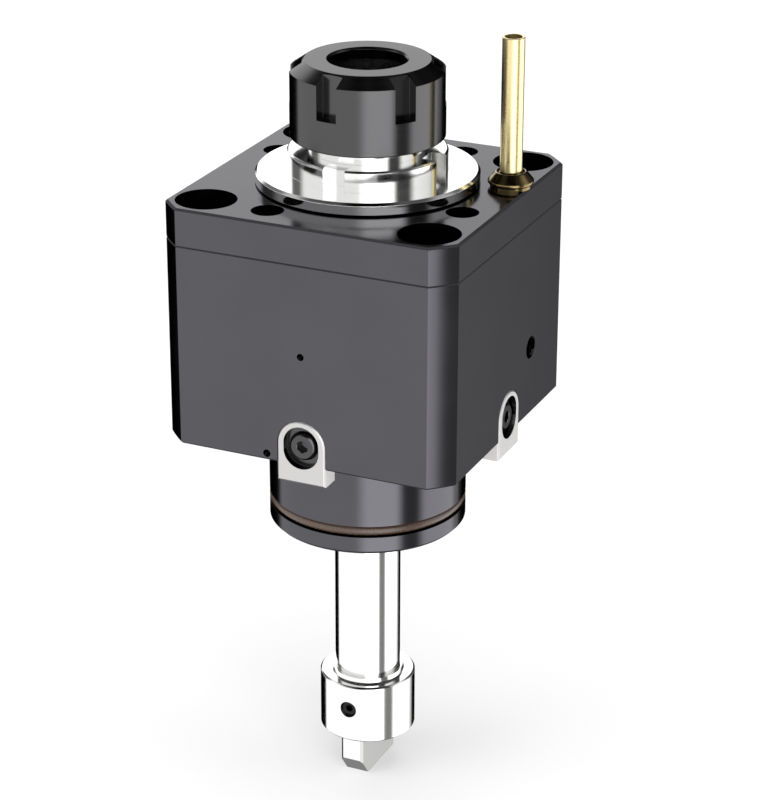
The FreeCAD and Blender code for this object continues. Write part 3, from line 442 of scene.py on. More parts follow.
def move_points(piece, test, shift):
    """Moves the points for which the test of their place holds."""
    select_points(piece, test)
    bpy.ops.transform.translate(value=shift)
    bpy.ops.object.mode_set(mode="OBJECT")


def set_down(piece, shift, tip_axis=None):
    """Moves a piece made at the origin to its place, tipped a quarter turn first where an axis is given."""
    select_only(piece)
    if tip_axis:
        bpy.ops.transform.rotate(value=-math.pi / 2, orient_axis=tip_axis, center_override=(0, 0, 0))
    bpy.ops.transform.translate(value=shift)
    apply_place(piece)


def turn_about_axis(piece, angle):
    """Turns a piece about the spindle's axis; with no window the turn operator runs the other way."""
    select_only(piece)
    bpy.ops.transform.rotate(value=-angle, orient_axis="Z", center_override=(0, 0, 0))
    apply_place(piece)


def copied(piece, name):
    """A copy with a mesh of its own."""
    twin = piece.copy()
    twin.data = piece.data.copy()
    twin.name = name
    bpy.context.scene.collection.objects.link(twin)
    return twin


def round_edges(piece, width, steps=3):
    """Breaks the sharp edges and shades the piece."""
    apply_modifier(
        piece, "BEVEL", width=width, segments=steps, limit_method="ANGLE", angle_limit=SHARP_ANGLE,
        use_clamp_overlap=True,
    )
    smooth(piece)


def shade(piece):
    """Smooth shading with sharp edges left sharp."""
    select_only(piece)
    bpy.ops.object.shade_smooth_by_angle(angle=SHARP_ANGLE)


def smooth(piece):
    """Smooth shading in which flat faces next to rounded edges stay flat."""
    shade(piece)
    apply_modifier(piece, "WEIGHTED_NORMAL", keep_sharp=True, weight=100)


def finish(piece, slot, body, *nodes):
    """Gives a piece its material and hangs it on its body in place of the CAD nodes."""
    if not piece.data.materials:
        piece.data.materials.append(material_for(slot))
    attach(piece, body)
    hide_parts(*nodes)


# Materials

def add_node(tree, kind, inputs=None, **settings):
    """Adds one shader node with its settings; an input is a value or a socket to link."""
    node = tree.nodes.new("ShaderNode" + kind)
    for name, value in settings.items():
        setattr(node, name, value)
    for name, value in (inputs or {}).items():
        if isinstance(value, bpy.types.NodeSocket):
            tree.links.new(value, node.inputs[name])
        else:
            node.inputs[name].default_value = value
    return node


def new_material(name):
    """An empty node material."""
    material = bpy.data.materials.new(name)
    material.use_nodes = True
    material.node_tree.nodes.clear()
    return material


def object_point(tree):
    """The place on the object, in metres."""
    return add_node(tree, "TexCoord").outputs["Object"]


def noise(tree, place, size, detail=2.0):
    """Noise whose patches are about one size across."""
    return add_node(tree, "TexNoise", {"Vector": place, "Scale": 1 / size, "Detail": detail}).outputs["Fac"]


def turning_marks(tree, spacing):
    """Noise that runs round the axis: rings on flat faces and bands on round ones, one mark per spacing."""
    split = add_node(tree, "SeparateXYZ", {"Vector": object_point(tree)})
    flat = add_node(tree, "CombineXYZ", {"X": split.outputs["X"], "Y": split.outputs["Y"]})
    radius = add_node(tree, "VectorMath", {0: flat.outputs["Vector"]}, operation="LENGTH")
    place = add_node(tree, "CombineXYZ", {"X": radius.outputs["Value"], "Z": split.outputs["Z"]})
    inputs = {"Vector": place.outputs["Vector"], "Scale": 1 / spacing, "Detail": 3.0, "Roughness": 0.6}
    return add_node(tree, "TexNoise", inputs).outputs["Fac"]


def grinding_marks(tree, spacing, stretch, turn=(0.0, 0.0, 0.0)):
    """Noise drawn out into straight parallel marks, one per spacing and stretch times as long."""
    inputs = {"Vector": object_point(tree), "Rotation": turn, "Scale": (1 / stretch, 1.0, 1.0)}
    return noise(tree, add_node(tree, "Mapping", inputs).outputs["Vector"], spacing)


def mottle(tree, size, detail=3.0):
    """Soft patches without a direction."""
    return noise(tree, object_point(tree), size, detail)


def spread(tree, source, low, high):
    """Maps a noise onto a range of roughness or height."""
    ranges = {"From Min": NOISE_LOW, "From Max": NOISE_HIGH, "To Min": low, "To Max": high}
    return add_node(tree, "MapRange", {"Value": source, **ranges}).outputs["Result"]


def chamfers(tree):
    """One on slanted faces and nought on upright and level ones: chamfers are milled, not ground."""
    slope = add_node(tree, "SeparateXYZ", {"Vector": add_node(tree, "TexCoord").outputs["Normal"]})
    steepness = add_node(tree, "Math", {0: slope.outputs["Z"]}, operation="ABSOLUTE").outputs["Value"]
    band = {0: steepness, 1: CHAMFER_SLOPE, 2: CHAMFER_SLOPE_REACH}
    return add_node(tree, "Math", band, operation="COMPARE").outputs["Value"]


def surface(material, inputs, height, bump, edge=0.0):
    """Ends a material: a fine relief, the shader and, where asked for, edges rounded in the shading."""
    tree = material.node_tree
    relief = add_node(tree, "Bump", {"Strength": bump, "Distance": RELIEF_DEPTH, "Height": height})
    if edge:
        rounded = add_node(tree, "Bevel", {"Radius": edge}, samples=4)
        tree.links.new(rounded.outputs["Normal"], relief.inputs["Normal"])
    shader = add_node(tree, "BsdfPrincipled", {**inputs, "Normal": relief.outputs["Normal"]})
    add_node(tree, "OutputMaterial", {"Surface": shader.outputs["BSDF"]})
    return material


def colour_drift(tree, base, factor, darker=0.85):
    """The base colour, a little darker where the factor is low."""
    low = (base[0] * darker, base[1] * darker, base[2] * darker, 1.0)
    mixed = add_node(tree, "Mix", {"Factor": factor, 6: low, 7: tuple(base)}, data_type="RGBA")
    return mixed.outputs[2]


def black_oxide_block(colours):
    """Hot black oxide on ground alloy steel: the skin swallows light, and milled chamfers are dull."""
    material = new_material("black_oxide_ground_steel")
    tree = material.node_tree
    marks = grinding_marks(tree, 0.6 * MM, 14.0)
    cloud = mottle(tree, 22 * MM)
    duller = {0: chamfers(tree), 1: CHAMFER_ROUGHNESS, 2: spread(tree, cloud, 0.13, 0.18)}
    roughness = add_node(tree, "Math", duller, operation="MULTIPLY_ADD")
    return surface(material, {
        "Base Color": colour_drift(tree, colours.block_oxide, spread(tree, cloud, 0.0, 1.0), 0.93),
        "Metallic": 1.0,
        "Specular Tint": (OXIDE_RIM, OXIDE_RIM, OXIDE_RIM, 1.0),
        "Roughness": roughness.outputs["Value"],
    }, marks, 0.03)


def turned_metal(name, base, spacing, roughness, relief, darker=1.0, rim=1.0, edge=0.0):
    """Metal turned or ground round the axis: rings one spacing apart vary its sheen and colour."""
    material = new_material(name)
    tree = material.node_tree
    marks = turning_marks(tree, spacing)
    return surface(material, {
        "Base Color": colour_drift(tree, base, marks, darker) if darker < 1.0 else tuple(base),
        "Metallic": 1.0,
        "Specular Tint": (rim, rim, rim, 1.0),
        "Roughness": spread(tree, marks, *roughness),
    }, marks, relief, edge)


def clouded_metal(name, base, size, detail, roughness, relief, darker, rim=1.0):
    """Metal under a skin of oxide, oil or patina, which varies in patches about one size across."""
    material = new_material(name)
    tree = material.node_tree
    cloud = mottle(tree, size, detail)
    return surface(material, {
        "Base Color": colour_drift(tree, base, cloud, darker),
        "Metallic": 1.0,
        "Specular Tint": (rim, rim, rim, 1.0),
        "Roughness": spread(tree, cloud, *roughness),
    }, cloud, relief)


def black_oxide_nut(colours):
    """Black oxide on a turned nut: fine rings from the tool under the dark skin."""
    return turned_metal(
        "black_oxide_turned_steel", colours.nut_oxide, 0.35 * MM, (0.14, 0.20), 0.06, 0.9, OXIDE_RIM,
    )


def black_oxide_screw(colours):
    """Black oxide on forged screws that the light reaches: a dark sheen, with oil left in the hollows."""
    return clouded_metal(
        "black_oxide_forged_screw_steel", colours.screw_oxide, 1.6 * MM, 5.0, (0.13, 0.21), 0.08, 0.7,
    )


def painted_shade_screw(colours):
    """The screw skin made nearly black, with its glancing reflection taken away: painted shade for screws
    deep in their wells.
    """
    return clouded_metal(
        "painted_shade_black_oxide_screw_steel", colours.painted_shade_screw_oxide, 1.6 * MM, 5.0, (0.13, 0.21), 0.08, 0.7,
        PAINTED_SHADE_RIM,
    )


def polished_steel(colours):
    """Cylindrically ground and polished alloy steel: a mirror with the faintest rings round the axis."""
    return turned_metal(
        "ground_polished_steel", colours.polished_steel, 0.5 * MM, (0.10, 0.14), 0.02, edge=BROKEN_EDGE,
    )


def bearing_steel(colours):
    """Through-hardened and ground ring steel: bright with visible grinding rings."""
    return turned_metal(
        "ground_bearing_steel", colours.bearing_steel, 0.3 * MM, (0.14, 0.22), 0.05, edge=BROKEN_EDGE,
    )


def key_steel(colours):
    """Surface ground key steel: straight fine marks that scatter the light to an even pale grey."""
    material = new_material("surface_ground_key_steel")
    tree = material.node_tree
    marks = grinding_marks(tree, 0.3 * MM, 18.0)
    return surface(material, {
        "Base Color": colour_drift(tree, colours.key_steel, marks, 0.94),
        "Metallic": 1.0,
        "Roughness": spread(tree, marks, 0.42, 0.52),
    }, marks, 0.05)


def spring_steel(colours):
    """Oil hardened spring steel: grey-blue and slightly rough."""
    return clouded_metal(
        "oil_hardened_spring_steel", colours.spring_steel, 6 * MM, 1.0, (0.24, 0.30), 0.02, 0.9,
    )


def drawn_brass(colours):
    """Drawn brass tube: long faint lines from the die along the tube, bright and pale gold."""
    material = new_material("drawn_brass")
    tree = material.node_tree
    marks = grinding_marks(tree, 0.35 * MM, 40.0, (0.0, math.pi / 2, 0.0))
    cloud = mottle(tree, 9 * MM)
    return surface(material, {
        "Base Color": colour_drift(tree, colours.brass, cloud, 0.9),
        "Metallic": 1.0,
        "Roughness": spread(tree, marks, 0.26, 0.34),
    }, marks, 0.03)


def dark_bronze(colours):
    """Darkened turned bronze: polished, with a brown patina that thins where hands and tools rub it."""
    return clouded_metal(
        "patinated_turned_bronze", colours.bronze, 3 * MM, 4.0, (0.10, 0.20), 0.04, 0.55,
    )


def cage_brass(colours):
    """Machined cage brass: turned rings in a warm yellow."""
    return turned_metal("machined_cage_brass", colours.cage_brass, 0.4 * MM, (0.20, 0.30), 0.08, 0.9)


def moulded_rubber(name, base, grain_size, ior, roughness, relief, darker):
    """Rubber with the fine grain of its mould."""
    material = new_material(name)
    tree = material.node_tree
    grain = mottle(tree, grain_size, 2.0)
    return surface(material, {
        "Base Color": colour_drift(tree, base, grain, darker),
        "IOR": ior,
        "Roughness": spread(tree, grain, *roughness),
    }, grain, relief)


def nitrile_rubber(colours):
    """Moulded nitrile rubber: soft black with a fine matt grain."""
    return moulded_rubber(
        "moulded_nitrile_rubber", colours.nitrile, 0.4 * MM, 1.52, (0.48, 0.62), 0.10, 0.8,
    )


def fluoro_rubber(colours):
    """Moulded fluoro rubber: brown, with a greasy satin sheen."""
    return moulded_rubber(
        "moulded_fluoro_rubber", colours.fluoro_rubber, 0.5 * MM, 1.5, (0.26, 0.30), 0.006, 0.93,
    )


MATERIALS = {
    "housing_steel": black_oxide_block,
    "nut_steel": black_oxide_nut,
    "blackened_steel": black_oxide_screw,
    # Painted shade: the nearly black copy of the screw finish
    "painted_shade_screw": painted_shade_screw,
    "ground_steel": polished_steel,
    "bearing_steel": bearing_steel,
    "key_steel": key_steel,
    "spring_steel": spring_steel,
    "brass": drawn_brass,
    "dark_bronze": dark_bronze,
    "cage_brass": cage_brass,
    "rubber": nitrile_rubber,
    "brown_rubber": fluoro_rubber,
}
made_materials = {}


def material_for(slot):
    """The finish for a slot, made when it is first asked for."""
    if slot not in made_materials:
        made_materials[slot] = MATERIALS[slot](bpy.context.scene.holder_finishes)
    return made_materials[slot]


# The pieces

class HOLDER_OT_cad_finishes(bpy.types.Operator):
    """Gives every CAD node the finish of its material slot"""
    bl_idname = "holder.cad_finishes"
    bl_label = "Finish CAD Nodes"

    def execute(self, context):
        for part in frame["record"]["subparts"]:
            slot = part["material_slot"]
            node = frame["nodes"][part["node"]]
            node.material_slots[0].material = material_for(slot)
        return {"FINISHED"}


class HOLDER_OT_spindle(bpy.types.Operator):
    """Turns the spindle with its flange, notched collar, neck, seats, drive shaft and collet taper"""
    bl_idname = "holder.spindle"
    bl_label = "Spindle"

    def execute(self, context):
        sizes = context.scene.holder_spindle
        shaft_low, nose_top = (corner.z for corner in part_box("spindle_shaft"))
        flange_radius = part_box("spindle_shaft")[1].x
        cover_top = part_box("front_cover")[1].z
        rear_low, rear_high = (corner.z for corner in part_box("rear_bearing_inner_ring"))
        snap_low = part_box("shaft_snap_ring")[0].z
        locknut_low, locknut_high = (corner.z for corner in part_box("bearing_locknut"))
        stack_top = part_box("upper_bearing_inner_ring")[1].z
        flange_low = cover_top + sizes.flange_lift
        flange_top = flange_low + sizes.flange_thickness
        collar_top = flange_top + sizes.collar_height
        nose_low = collar_top + sizes.neck_length
        thread_root = sizes.thread_radius - sizes.thread_depth
        taper_low = nose_top - sizes.taper_length
        relief_low = taper_low - sizes.relief_depth
        groove_radius = sizes.rear_seat_radius - sizes.snap_groove_depth
        chamfer = sizes.flange_chamfer
        edge = sizes.collar_chamfer
        outline = [
            (sizes.shaft_radius - edge, shaft_low),
            (sizes.shaft_radius, shaft_low + edge),
            (sizes.shaft_radius, snap_low - edge),
            (groove_radius, snap_low - edge),
            (groove_radius, rear_low),
            (sizes.rear_seat_radius, rear_low),
            (sizes.rear_seat_radius, rear_high),
            (sizes.rear_shoulder_radius, rear_high),
            (sizes.rear_shoulder_radius, rear_high + 3 * edge),
            (sizes.middle_radius, rear_high + 6 * edge),
            (sizes.middle_radius, locknut_low - 2 * edge),
            (sizes.locknut_thread_radius, locknut_low),
            (sizes.locknut_thread_radius, locknut_high),
            (sizes.front_seat_radius, locknut_high + edge),
            (sizes.front_seat_radius, stack_top),
            (sizes.seal_land_radius, stack_top),
            (sizes.seal_land_radius, flange_low),
            (flange_radius - edge / 2, flange_low),
            (flange_radius, flange_low + edge / 2),
            (flange_radius, flange_top - chamfer),
            (flange_radius - chamfer, flange_top),
            (sizes.collar_radius, flange_top),
            (sizes.collar_radius, collar_top - edge),
            (sizes.collar_radius - edge, collar_top),
            (sizes.thread_radius, collar_top),
            (sizes.thread_radius, nose_low - 2 * edge),
            (thread_root, nose_low),
            (thread_root, nose_top),
            (sizes.taper_mouth_radius, nose_top),
            (sizes.taper_end_radius, taper_low),
            (sizes.relief_radius, taper_low),
            (sizes.relief_radius, relief_low),
        ]
        spindle = turned("spindle", outline)
        for index in range(sizes.notch_count):
            notch = box_piece(
                "notch",
                (sizes.collar_radius - sizes.notch_depth, -sizes.notch_width / 2, flange_top),
                (sizes.collar_radius + CUT_OVER, sizes.notch_width / 2, collar_top + CUT_OVER),
            )
            turn_about_axis(notch, FULL_TURN * index / sizes.notch_count)
            boolean(spindle, notch)
        shade(spindle)
        finish(spindle, "ground_steel", "spindle", "spindle_shaft")

        thread = self.nose_thread(sizes, thread_root, nose_low, nose_top)
        finish(thread, "ground_steel", "spindle")
        return {"FINISHED"}

    def nose_thread(self, sizes, root, low, high):
        """One ridge wound up the nose: a flat profile screwed about the axis."""
        pitch = sizes.thread_pitch
        turns = int((high - low) / pitch) - 1
        middle = low + pitch / 2
        width = sizes.thread_depth + THREAD_SINK
        deselect_all()
        bpy.ops.mesh.primitive_plane_add(size=1, location=(root, 0, middle), rotation=(math.pi / 2, 0, 0))
        ridge = bpy.context.active_object
        ridge.name = "nose_thread"
        apply_place(ridge)
        bpy.ops.transform.resize(value=(width, 1, pitch * THREAD_FOOT), center_override=(root, 0, middle))
        apply_place(ridge)
        select_points(ridge, lambda place: place.x > root)
        bpy.ops.transform.resize(value=(1, 1, THREAD_CREST / THREAD_FOOT), center_override=(root, 0, middle))
        move_points(ridge, lambda place: True, (sizes.thread_radius - root - width / 2, 0, 0))
        apply_modifier(
            ridge, "SCREW", angle=FULL_TURN * turns, screw_offset=pitch * turns, iterations=1, axis="Z",
            steps=THREAD_STEPS * turns, render_steps=THREAD_STEPS * turns, use_normal_calculate=True,
        )
        bpy.ops.object.mode_set(mode="EDIT")
        close_up()
        smooth(ridge)
        return ridge


class HOLDER_OT_collet_nut(bpy.types.Operator):
    """Turns the collet nut and mills its wrench slots"""
    bl_idname = "holder.collet_nut"
    bl_label = "Collet Nut"

    def execute(self, context):
        sizes = context.scene.holder_nut
        low, high = (corner.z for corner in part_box("collet_nut"))
        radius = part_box("collet_nut")[1].x
        lip_low = high - sizes.lip_thickness
        cavity_low = lip_low - sizes.cavity_height
        chamfer = sizes.bottom_chamfer
        nut = turned("collet_nut_body", [
            (sizes.bore_radius + chamfer, low),
            (radius - chamfer, low),
            (radius, low + chamfer),
            (radius, high - sizes.top_bevel_height),
            (radius - sizes.top_bevel_width, high),
            (sizes.mouth_radius + sizes.mouth_chamfer, high),
            (sizes.mouth_radius, high - sizes.mouth_chamfer),
            (sizes.lip_back_radius, lip_low),
            (sizes.cavity_radius, lip_low),
            (sizes.cavity_radius, cavity_low),
            (sizes.bore_radius, cavity_low - chamfer),
            (sizes.bore_radius, low + chamfer),
        ], ring=True)
        for index in range(sizes.slot_count):
            slot = box_piece(
                "slot",
                (radius - sizes.slot_depth, -sizes.slot_width / 2, low + sizes.slot_floor),
                (radius + CUT_OVER, sizes.slot_width / 2, high + CUT_OVER),
            )
            turn_about_axis(slot, sizes.slot_angle + FULL_TURN * index / sizes.slot_count)
            boolean(nut, slot)
        round_edges(nut, NUT_EDGE)
        finish(nut, "nut_steel", "nut", "collet_nut")
        return {"FINISHED"}


class HOLDER_OT_coupling(bpy.types.Operator):
    """Turns the drive coupling, joins its bevelled tang and drills it for shaft and set screw"""
    bl_idname = "holder.coupling"
    bl_label = "Drive Coupling"

    def execute(self, context):
        sizes = context.scene.holder_coupling
        box_low, box_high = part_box("drive_coupling")
        radius = box_high.x
        sleeve_top = box_high.z - sizes.boss_height
        sleeve_low = box_low.z + sizes.tang_depth
        shaft_radius = context.scene.holder_spindle.shaft_radius
        shaft_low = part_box("spindle_shaft")[0].z
        chamfer = sizes.chamfer
        sleeve = turned("coupling_sleeve", [
            (radius - chamfer, sleeve_low),
            (radius, sleeve_low + chamfer),
            (radius, sleeve_top - chamfer),
            (radius - chamfer, sleeve_top),
            (sizes.boss_radius, sleeve_top),
            (sizes.boss_radius - chamfer / 2, box_high.z),
            (shaft_radius + SHAFT_PLAY, box_high.z),
            (shaft_radius + SHAFT_PLAY, shaft_low - chamfer / 2),
        ])
        boolean(sleeve, self.tang(sizes, box_low, sleeve_low), "UNION")
        screw_height = sleeve_top - sizes.screw_drop
        hole = rod_piece(
            "screw_hole", sizes.screw_radius + THREAD_PLAY, (0, -radius - CUT_OVER, screw_height),
            (0, 0, screw_height),
        )
        boolean(sleeve, hole)
        round_edges(sleeve, COUPLING_EDGE)
        finish(sleeve, "ground_steel", "spindle", "drive_coupling")
        return {"FINISHED"}

    def tang(self, sizes, low, top):
        """Flat tang with its front lower edge bevelled away."""
        length_half = sizes.tang_length / 2
        width_half = sizes.tang_width / 2
        tang_high = (width_half, length_half, top + CUT_OVER)
        tang = box_piece("tang", (-width_half, -length_half, low.z), tang_high)
        select_edges(tang, lambda first, second: abs(first.z - second.z) > TOUCH)
        bpy.ops.mesh.bevel(offset=sizes.tang_edge, segments=1, affect="EDGES")
        bpy.ops.object.mode_set(mode="OBJECT")
        corner = box_piece(
            "corner",
            (-sizes.tang_width, -length_half - CUT_OVER, low.z - CUT_OVER),
            (sizes.tang_width, -length_half + sizes.tang_bevel_inset, low.z + sizes.tang_bevel_height),
        )
        move_points(
            corner, lambda place: place.y > -length_half and place.z > low.z, (0, -sizes.tang_bevel_inset, 0),
        )
        move_points(corner, lambda place: place.y < -length_half and place.z > low.z, (0, 0, CUT_OVER))
        boolean(tang, corner)
        return tang


def socket_screw(name, radius, head_height, hex_width, depth_share, top):
    """Cap screw head on the upright axis with its hexagon socket; top is the height of its face."""
    edge = radius * HEAD_EDGE_SHARE
    low = top - head_height
    screw = turned(name, [
        (radius - edge, low), (radius, low + edge), (radius, top - 2 * edge), (radius - 2 * edge, top),
    ], segments=SMALL_SEGMENTS)
    hex_radius = hex_width / math.sqrt(3)
    floor = top - head_height * depth_share
    deselect_all()
    bpy.ops.mesh.primitive_cylinder_add(
        vertices=6, radius=hex_radius, depth=top - floor + CUT_OVER,
        location=(0, 0, (top + floor + CUT_OVER) / 2),
    )
    hexagon = bpy.context.active_object
    apply_place(hexagon)
    boolean(screw, hexagon)
    mouth_depth = hex_radius * SOCKET_MOUTH_DEPTH_SHARE
    deselect_all()
    bpy.ops.mesh.primitive_cone_add(
        vertices=SMALL_SEGMENTS, radius1=0.0, radius2=hex_radius * SOCKET_MOUTH_SHARE, depth=mouth_depth,
        location=(0, 0, top - mouth_depth / 2 + TOUCH),
    )
    mouth = bpy.context.active_object
    apply_place(mouth)
    boolean(screw, mouth)
    return screw


class HOLDER_OT_cover_screws(bpy.types.Operator):
    """Models one cap screw for the front cover and copies it into the four wells"""
    bl_idname = "holder.cover_screws"
    bl_label = "Cover Screws"

    def execute(self, context):
        sizes = context.scene.holder_screws
        low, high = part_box("cover_screws")
        head = socket_screw(
            "cover_screw_1", COVER_HEAD_RADIUS, sizes.cover_head_height, sizes.cover_hex_width,
            sizes.hex_depth_share, high.z,
        )
        head_middle = high.z - sizes.cover_head_height / 2
        shank = rod_piece("shank", COVER_SHANK_RADIUS, (0, 0, low.z), (0, 0, head_middle))
        boolean(head, shank, "UNION")
        round_edges(head, COVER_SCREW_EDGE, 2)
        # The cover screws take the nearly black copy of the screw finish, painted shade for their deep wells
        head.data.materials.append(material_for("painted_shade_screw"))
        set_down(head, (COVER_SCREW_CIRCLE, 0, 0))
        turn_about_axis(head, COVER_SCREW_ANGLE)
        for index in range(1, COVER_SCREWS):
            twin = copied(head, f"cover_screw_{index + 1}")
            turn_about_axis(twin, FULL_TURN * index / COVER_SCREWS)
            finish(twin, "blackened_steel", "housing", "cover_screws")
        finish(head, "blackened_steel", "housing", "cover_screws")
        return {"FINISHED"}


class HOLDER_OT_locating_keys(bpy.types.Operator):
    """Models the front locating key with its screw and copies both to the other three sides"""
    bl_idname = "holder.locating_keys"
    bl_label = "Locating Keys"

    def execute(self, context):
        sizes = context.scene.holder_keys
        screws = context.scene.holder_screws
        low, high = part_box("locating_key_front")
        key = self.key(sizes, low, high)
        seat = low.y + sizes.bore_depth
        head = socket_screw(
            "key_screw_front", KEY_HEAD_RADIUS, screws.key_head_height, screws.key_hex_width,
            screws.hex_depth_share, 0,
        )
        set_down(head, (0, seat - screws.key_head_height, sizes.screw_height), "X")
        shank = rod_piece(
            "shank", KEY_SHANK_RADIUS, (0, seat - screws.key_head_height / 2, sizes.screw_height),
            (0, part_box("key_screws")[0].y + KEY_SCREW_REACH, sizes.screw_height),
        )
        boolean(head, shank, "UNION")
        round_edges(head, SMALL_SCREW_EDGE, 2)
        # Painted light: the key screws take the nut's lighter oxide in place of the screw finish, so their
        # faces read lighter than the other screws
        head.data.materials.append(material_for("nut_steel"))
        for index, side in enumerate(("right", "back", "left"), start=1):
            for piece, name in ((key, f"key_{side}"), (head, f"key_screw_{side}")):
                twin = copied(piece, name)
                turn_about_axis(twin, FULL_TURN * index / 4)
                if piece is key:
                    finish(twin, "key_steel", "housing", f"locating_key_{side}")
                else:
                    finish(twin, "blackened_steel", "housing", "key_screws")
        finish(key, "key_steel", "housing", "locating_key_front")
        finish(head, "blackened_steel", "housing", "key_screws")
        return {"FINISHED"}

    def key(self, sizes, low, high):
        """Flat key with a round top, chamfered face and a stepped well for its screw."""
        radius = (high.x - low.x) / 2
        centre_height = high.z - radius
        height = sizes.screw_height
        key = rod_piece(
            "key_front", radius, (0, low.y, centre_height), (0, high.y, centre_height), TURNED_SEGMENTS,
        )
        select_only(key)
        bpy.ops.object.mode_set(mode="EDIT")
        bpy.ops.mesh.select_all(action="SELECT")
        bpy.ops.mesh.bisect(
            plane_co=(0, 0, centre_height), plane_no=(0, 0, 1), use_fill=True, clear_inner=True,
            threshold=MERGE,
        )
        select_points(key, lambda place: place.z < centre_height + TOUCH)
        bpy.ops.mesh.extrude_region_move(TRANSFORM_OT_translate={"value": (0, 0, low.z - centre_height)})
        bpy.ops.mesh.select_all(action="SELECT")
        bpy.ops.mesh.dissolve_limited(angle_limit=FLAT_ANGLE)
        bpy.ops.mesh.normals_make_consistent(inside=False)
        select_points(key, lambda place: place.y < low.y + TOUCH)
        bpy.ops.mesh.bevel(offset=sizes.edge_chamfer, segments=1, affect="EDGES")
        bpy.ops.object.mode_set(mode="OBJECT")
        well = rod_piece(
            "well", sizes.well_radius, (0, low.y - CUT_OVER, height), (0, low.y + sizes.well_depth, height),
            TURNED_SEGMENTS,
        )
        for side in (-1, 1):
            shift = (0, 0, sizes.well_stretch * side)
            move_points(well, lambda place: (place.z - height) * side > TOUCH, shift)
        boolean(key, well)
        bores = ((sizes.bore_radius, low.y + sizes.bore_depth), (KEY_SHANK_RADIUS, high.y + CUT_OVER))
        for bore_radius, end in bores:
            bore = rod_piece("bore", bore_radius, (0, low.y, height), (0, end, height))
            boolean(key, bore)
        round_edges(key, KEY_EDGE, 2)
        self.blacken_well(key, sizes, low)
        return key

    def blacken_well(self, key, sizes, low):
        """The faces inside the screw's well get the nut's black oxide finish, darker than the ground key."""
        key.data.materials.append(material_for("key_steel"))
        key.data.materials.append(material_for("nut_steel"))
        reach = sizes.well_radius + TOUCH
        for face in key.data.polygons:
            across = abs(face.center.x)
            along = max(abs(face.center.z - sizes.screw_height) - sizes.well_stretch, 0.0)
            inside = math.hypot(across, along) < reach and face.center.y > low.y + BROKEN_EDGE
            face.material_index = 1 if inside else 0


class HOLDER_OT_coolant_plug(bpy.types.Operator):
    """Models the threaded plug of the coolant way"""
    bl_idname = "holder.coolant_plug"
    bl_label = "Coolant Plug"

    def execute(self, context):
        sizes = context.scene.holder_screws
        low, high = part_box("coolant_plug")
        radius = (high.z - low.z) / 2
        plug = socket_screw("plug", radius, high.x - low.x, sizes.plug_hex_width, sizes.hex_depth_share, 0)
        set_down(plug, (high.x, (low.y + high.y) / 2, (low.z + high.z) / 2), "Y")
        round_edges(plug, SMALL_SCREW_EDGE, 2)
        # The plug takes the same nearly black copy of the screw finish, painted shade
        plug.data.materials.append(material_for("painted_shade_screw"))
        finish(plug, "blackened_steel", "housing", "coolant_plug")
        return {"FINISHED"}


class HOLDER_OT_nozzle(bpy.types.Operator):
    """Turns the nozzle's coned cap and its tube"""
    bl_idname = "holder.nozzle"
    bl_label = "Coolant Nozzle"

    def execute(self, context):
        sizes = context.scene.holder_nozzle
        ball_low, ball_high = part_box("nozzle_ball")
        centre = (ball_low + ball_high) / 2
        axis = (centre.x, centre.y)
        cap_low, cap_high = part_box("nozzle_cap")
        tube_low, tube_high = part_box("coolant_tube")
        tube_radius = (tube_high.x - tube_low.x) / 2
        cap_radius = (cap_high.x - cap_low.x) / 2
        seat_radius = sizes.ball_radius + sizes.cap_gap
        chamfer = sizes.cap_chamfer
        cap_outline = [
            (cap_radius - chamfer, cap_low.z),
            (cap_radius, cap_low.z + chamfer),
            (cap_radius, cap_low.z + sizes.cap_rim_height),
            (sizes.cap_top_radius, cap_high.z - chamfer),
            (sizes.cap_top_radius - chamfer, cap_high.z),
            (sizes.cap_mouth_radius, cap_high.z),
        ]
        seat_rise = math.sqrt(seat_radius ** 2 - sizes.cap_mouth_radius ** 2)
        cap_outline += [(sizes.cap_mouth_radius, centre.z + seat_rise)]
        seat_low = cap_low.z - centre.z
        for share in (0.75, 0.5, 0.25, 0.0):
            rise = seat_low + (seat_rise - seat_low) * share
            cap_outline += [(math.sqrt(seat_radius ** 2 - rise ** 2), centre.z + rise)]
        cap = turned("cap", cap_outline, axis, SMALL_SEGMENTS * 2, ring=True)
        round_edges(cap, CAP_EDGE)
        finish(cap, "dark_bronze", "housing", "nozzle_cap")

        tube = turned("tube", [
            (sizes.bore_radius + TUBE_EDGE, tube_low.z),
            (tube_radius - TUBE_EDGE, tube_low.z),
            (tube_radius, tube_low.z + TUBE_EDGE),
            (tube_radius, tube_high.z - TUBE_EDGE),
            (tube_radius - TUBE_EDGE, tube_high.z),
            (sizes.bore_radius + TUBE_EDGE, tube_high.z),
            (sizes.bore_radius, tube_high.z - TUBE_EDGE),
            (sizes.bore_radius, tube_low.z + TUBE_EDGE),
        ], axis, SMALL_SEGMENTS * 2, ring=True)
        smooth(tube)
        finish(tube, "brass", "nozzle", "coolant_tube")
        return {"FINISHED"}


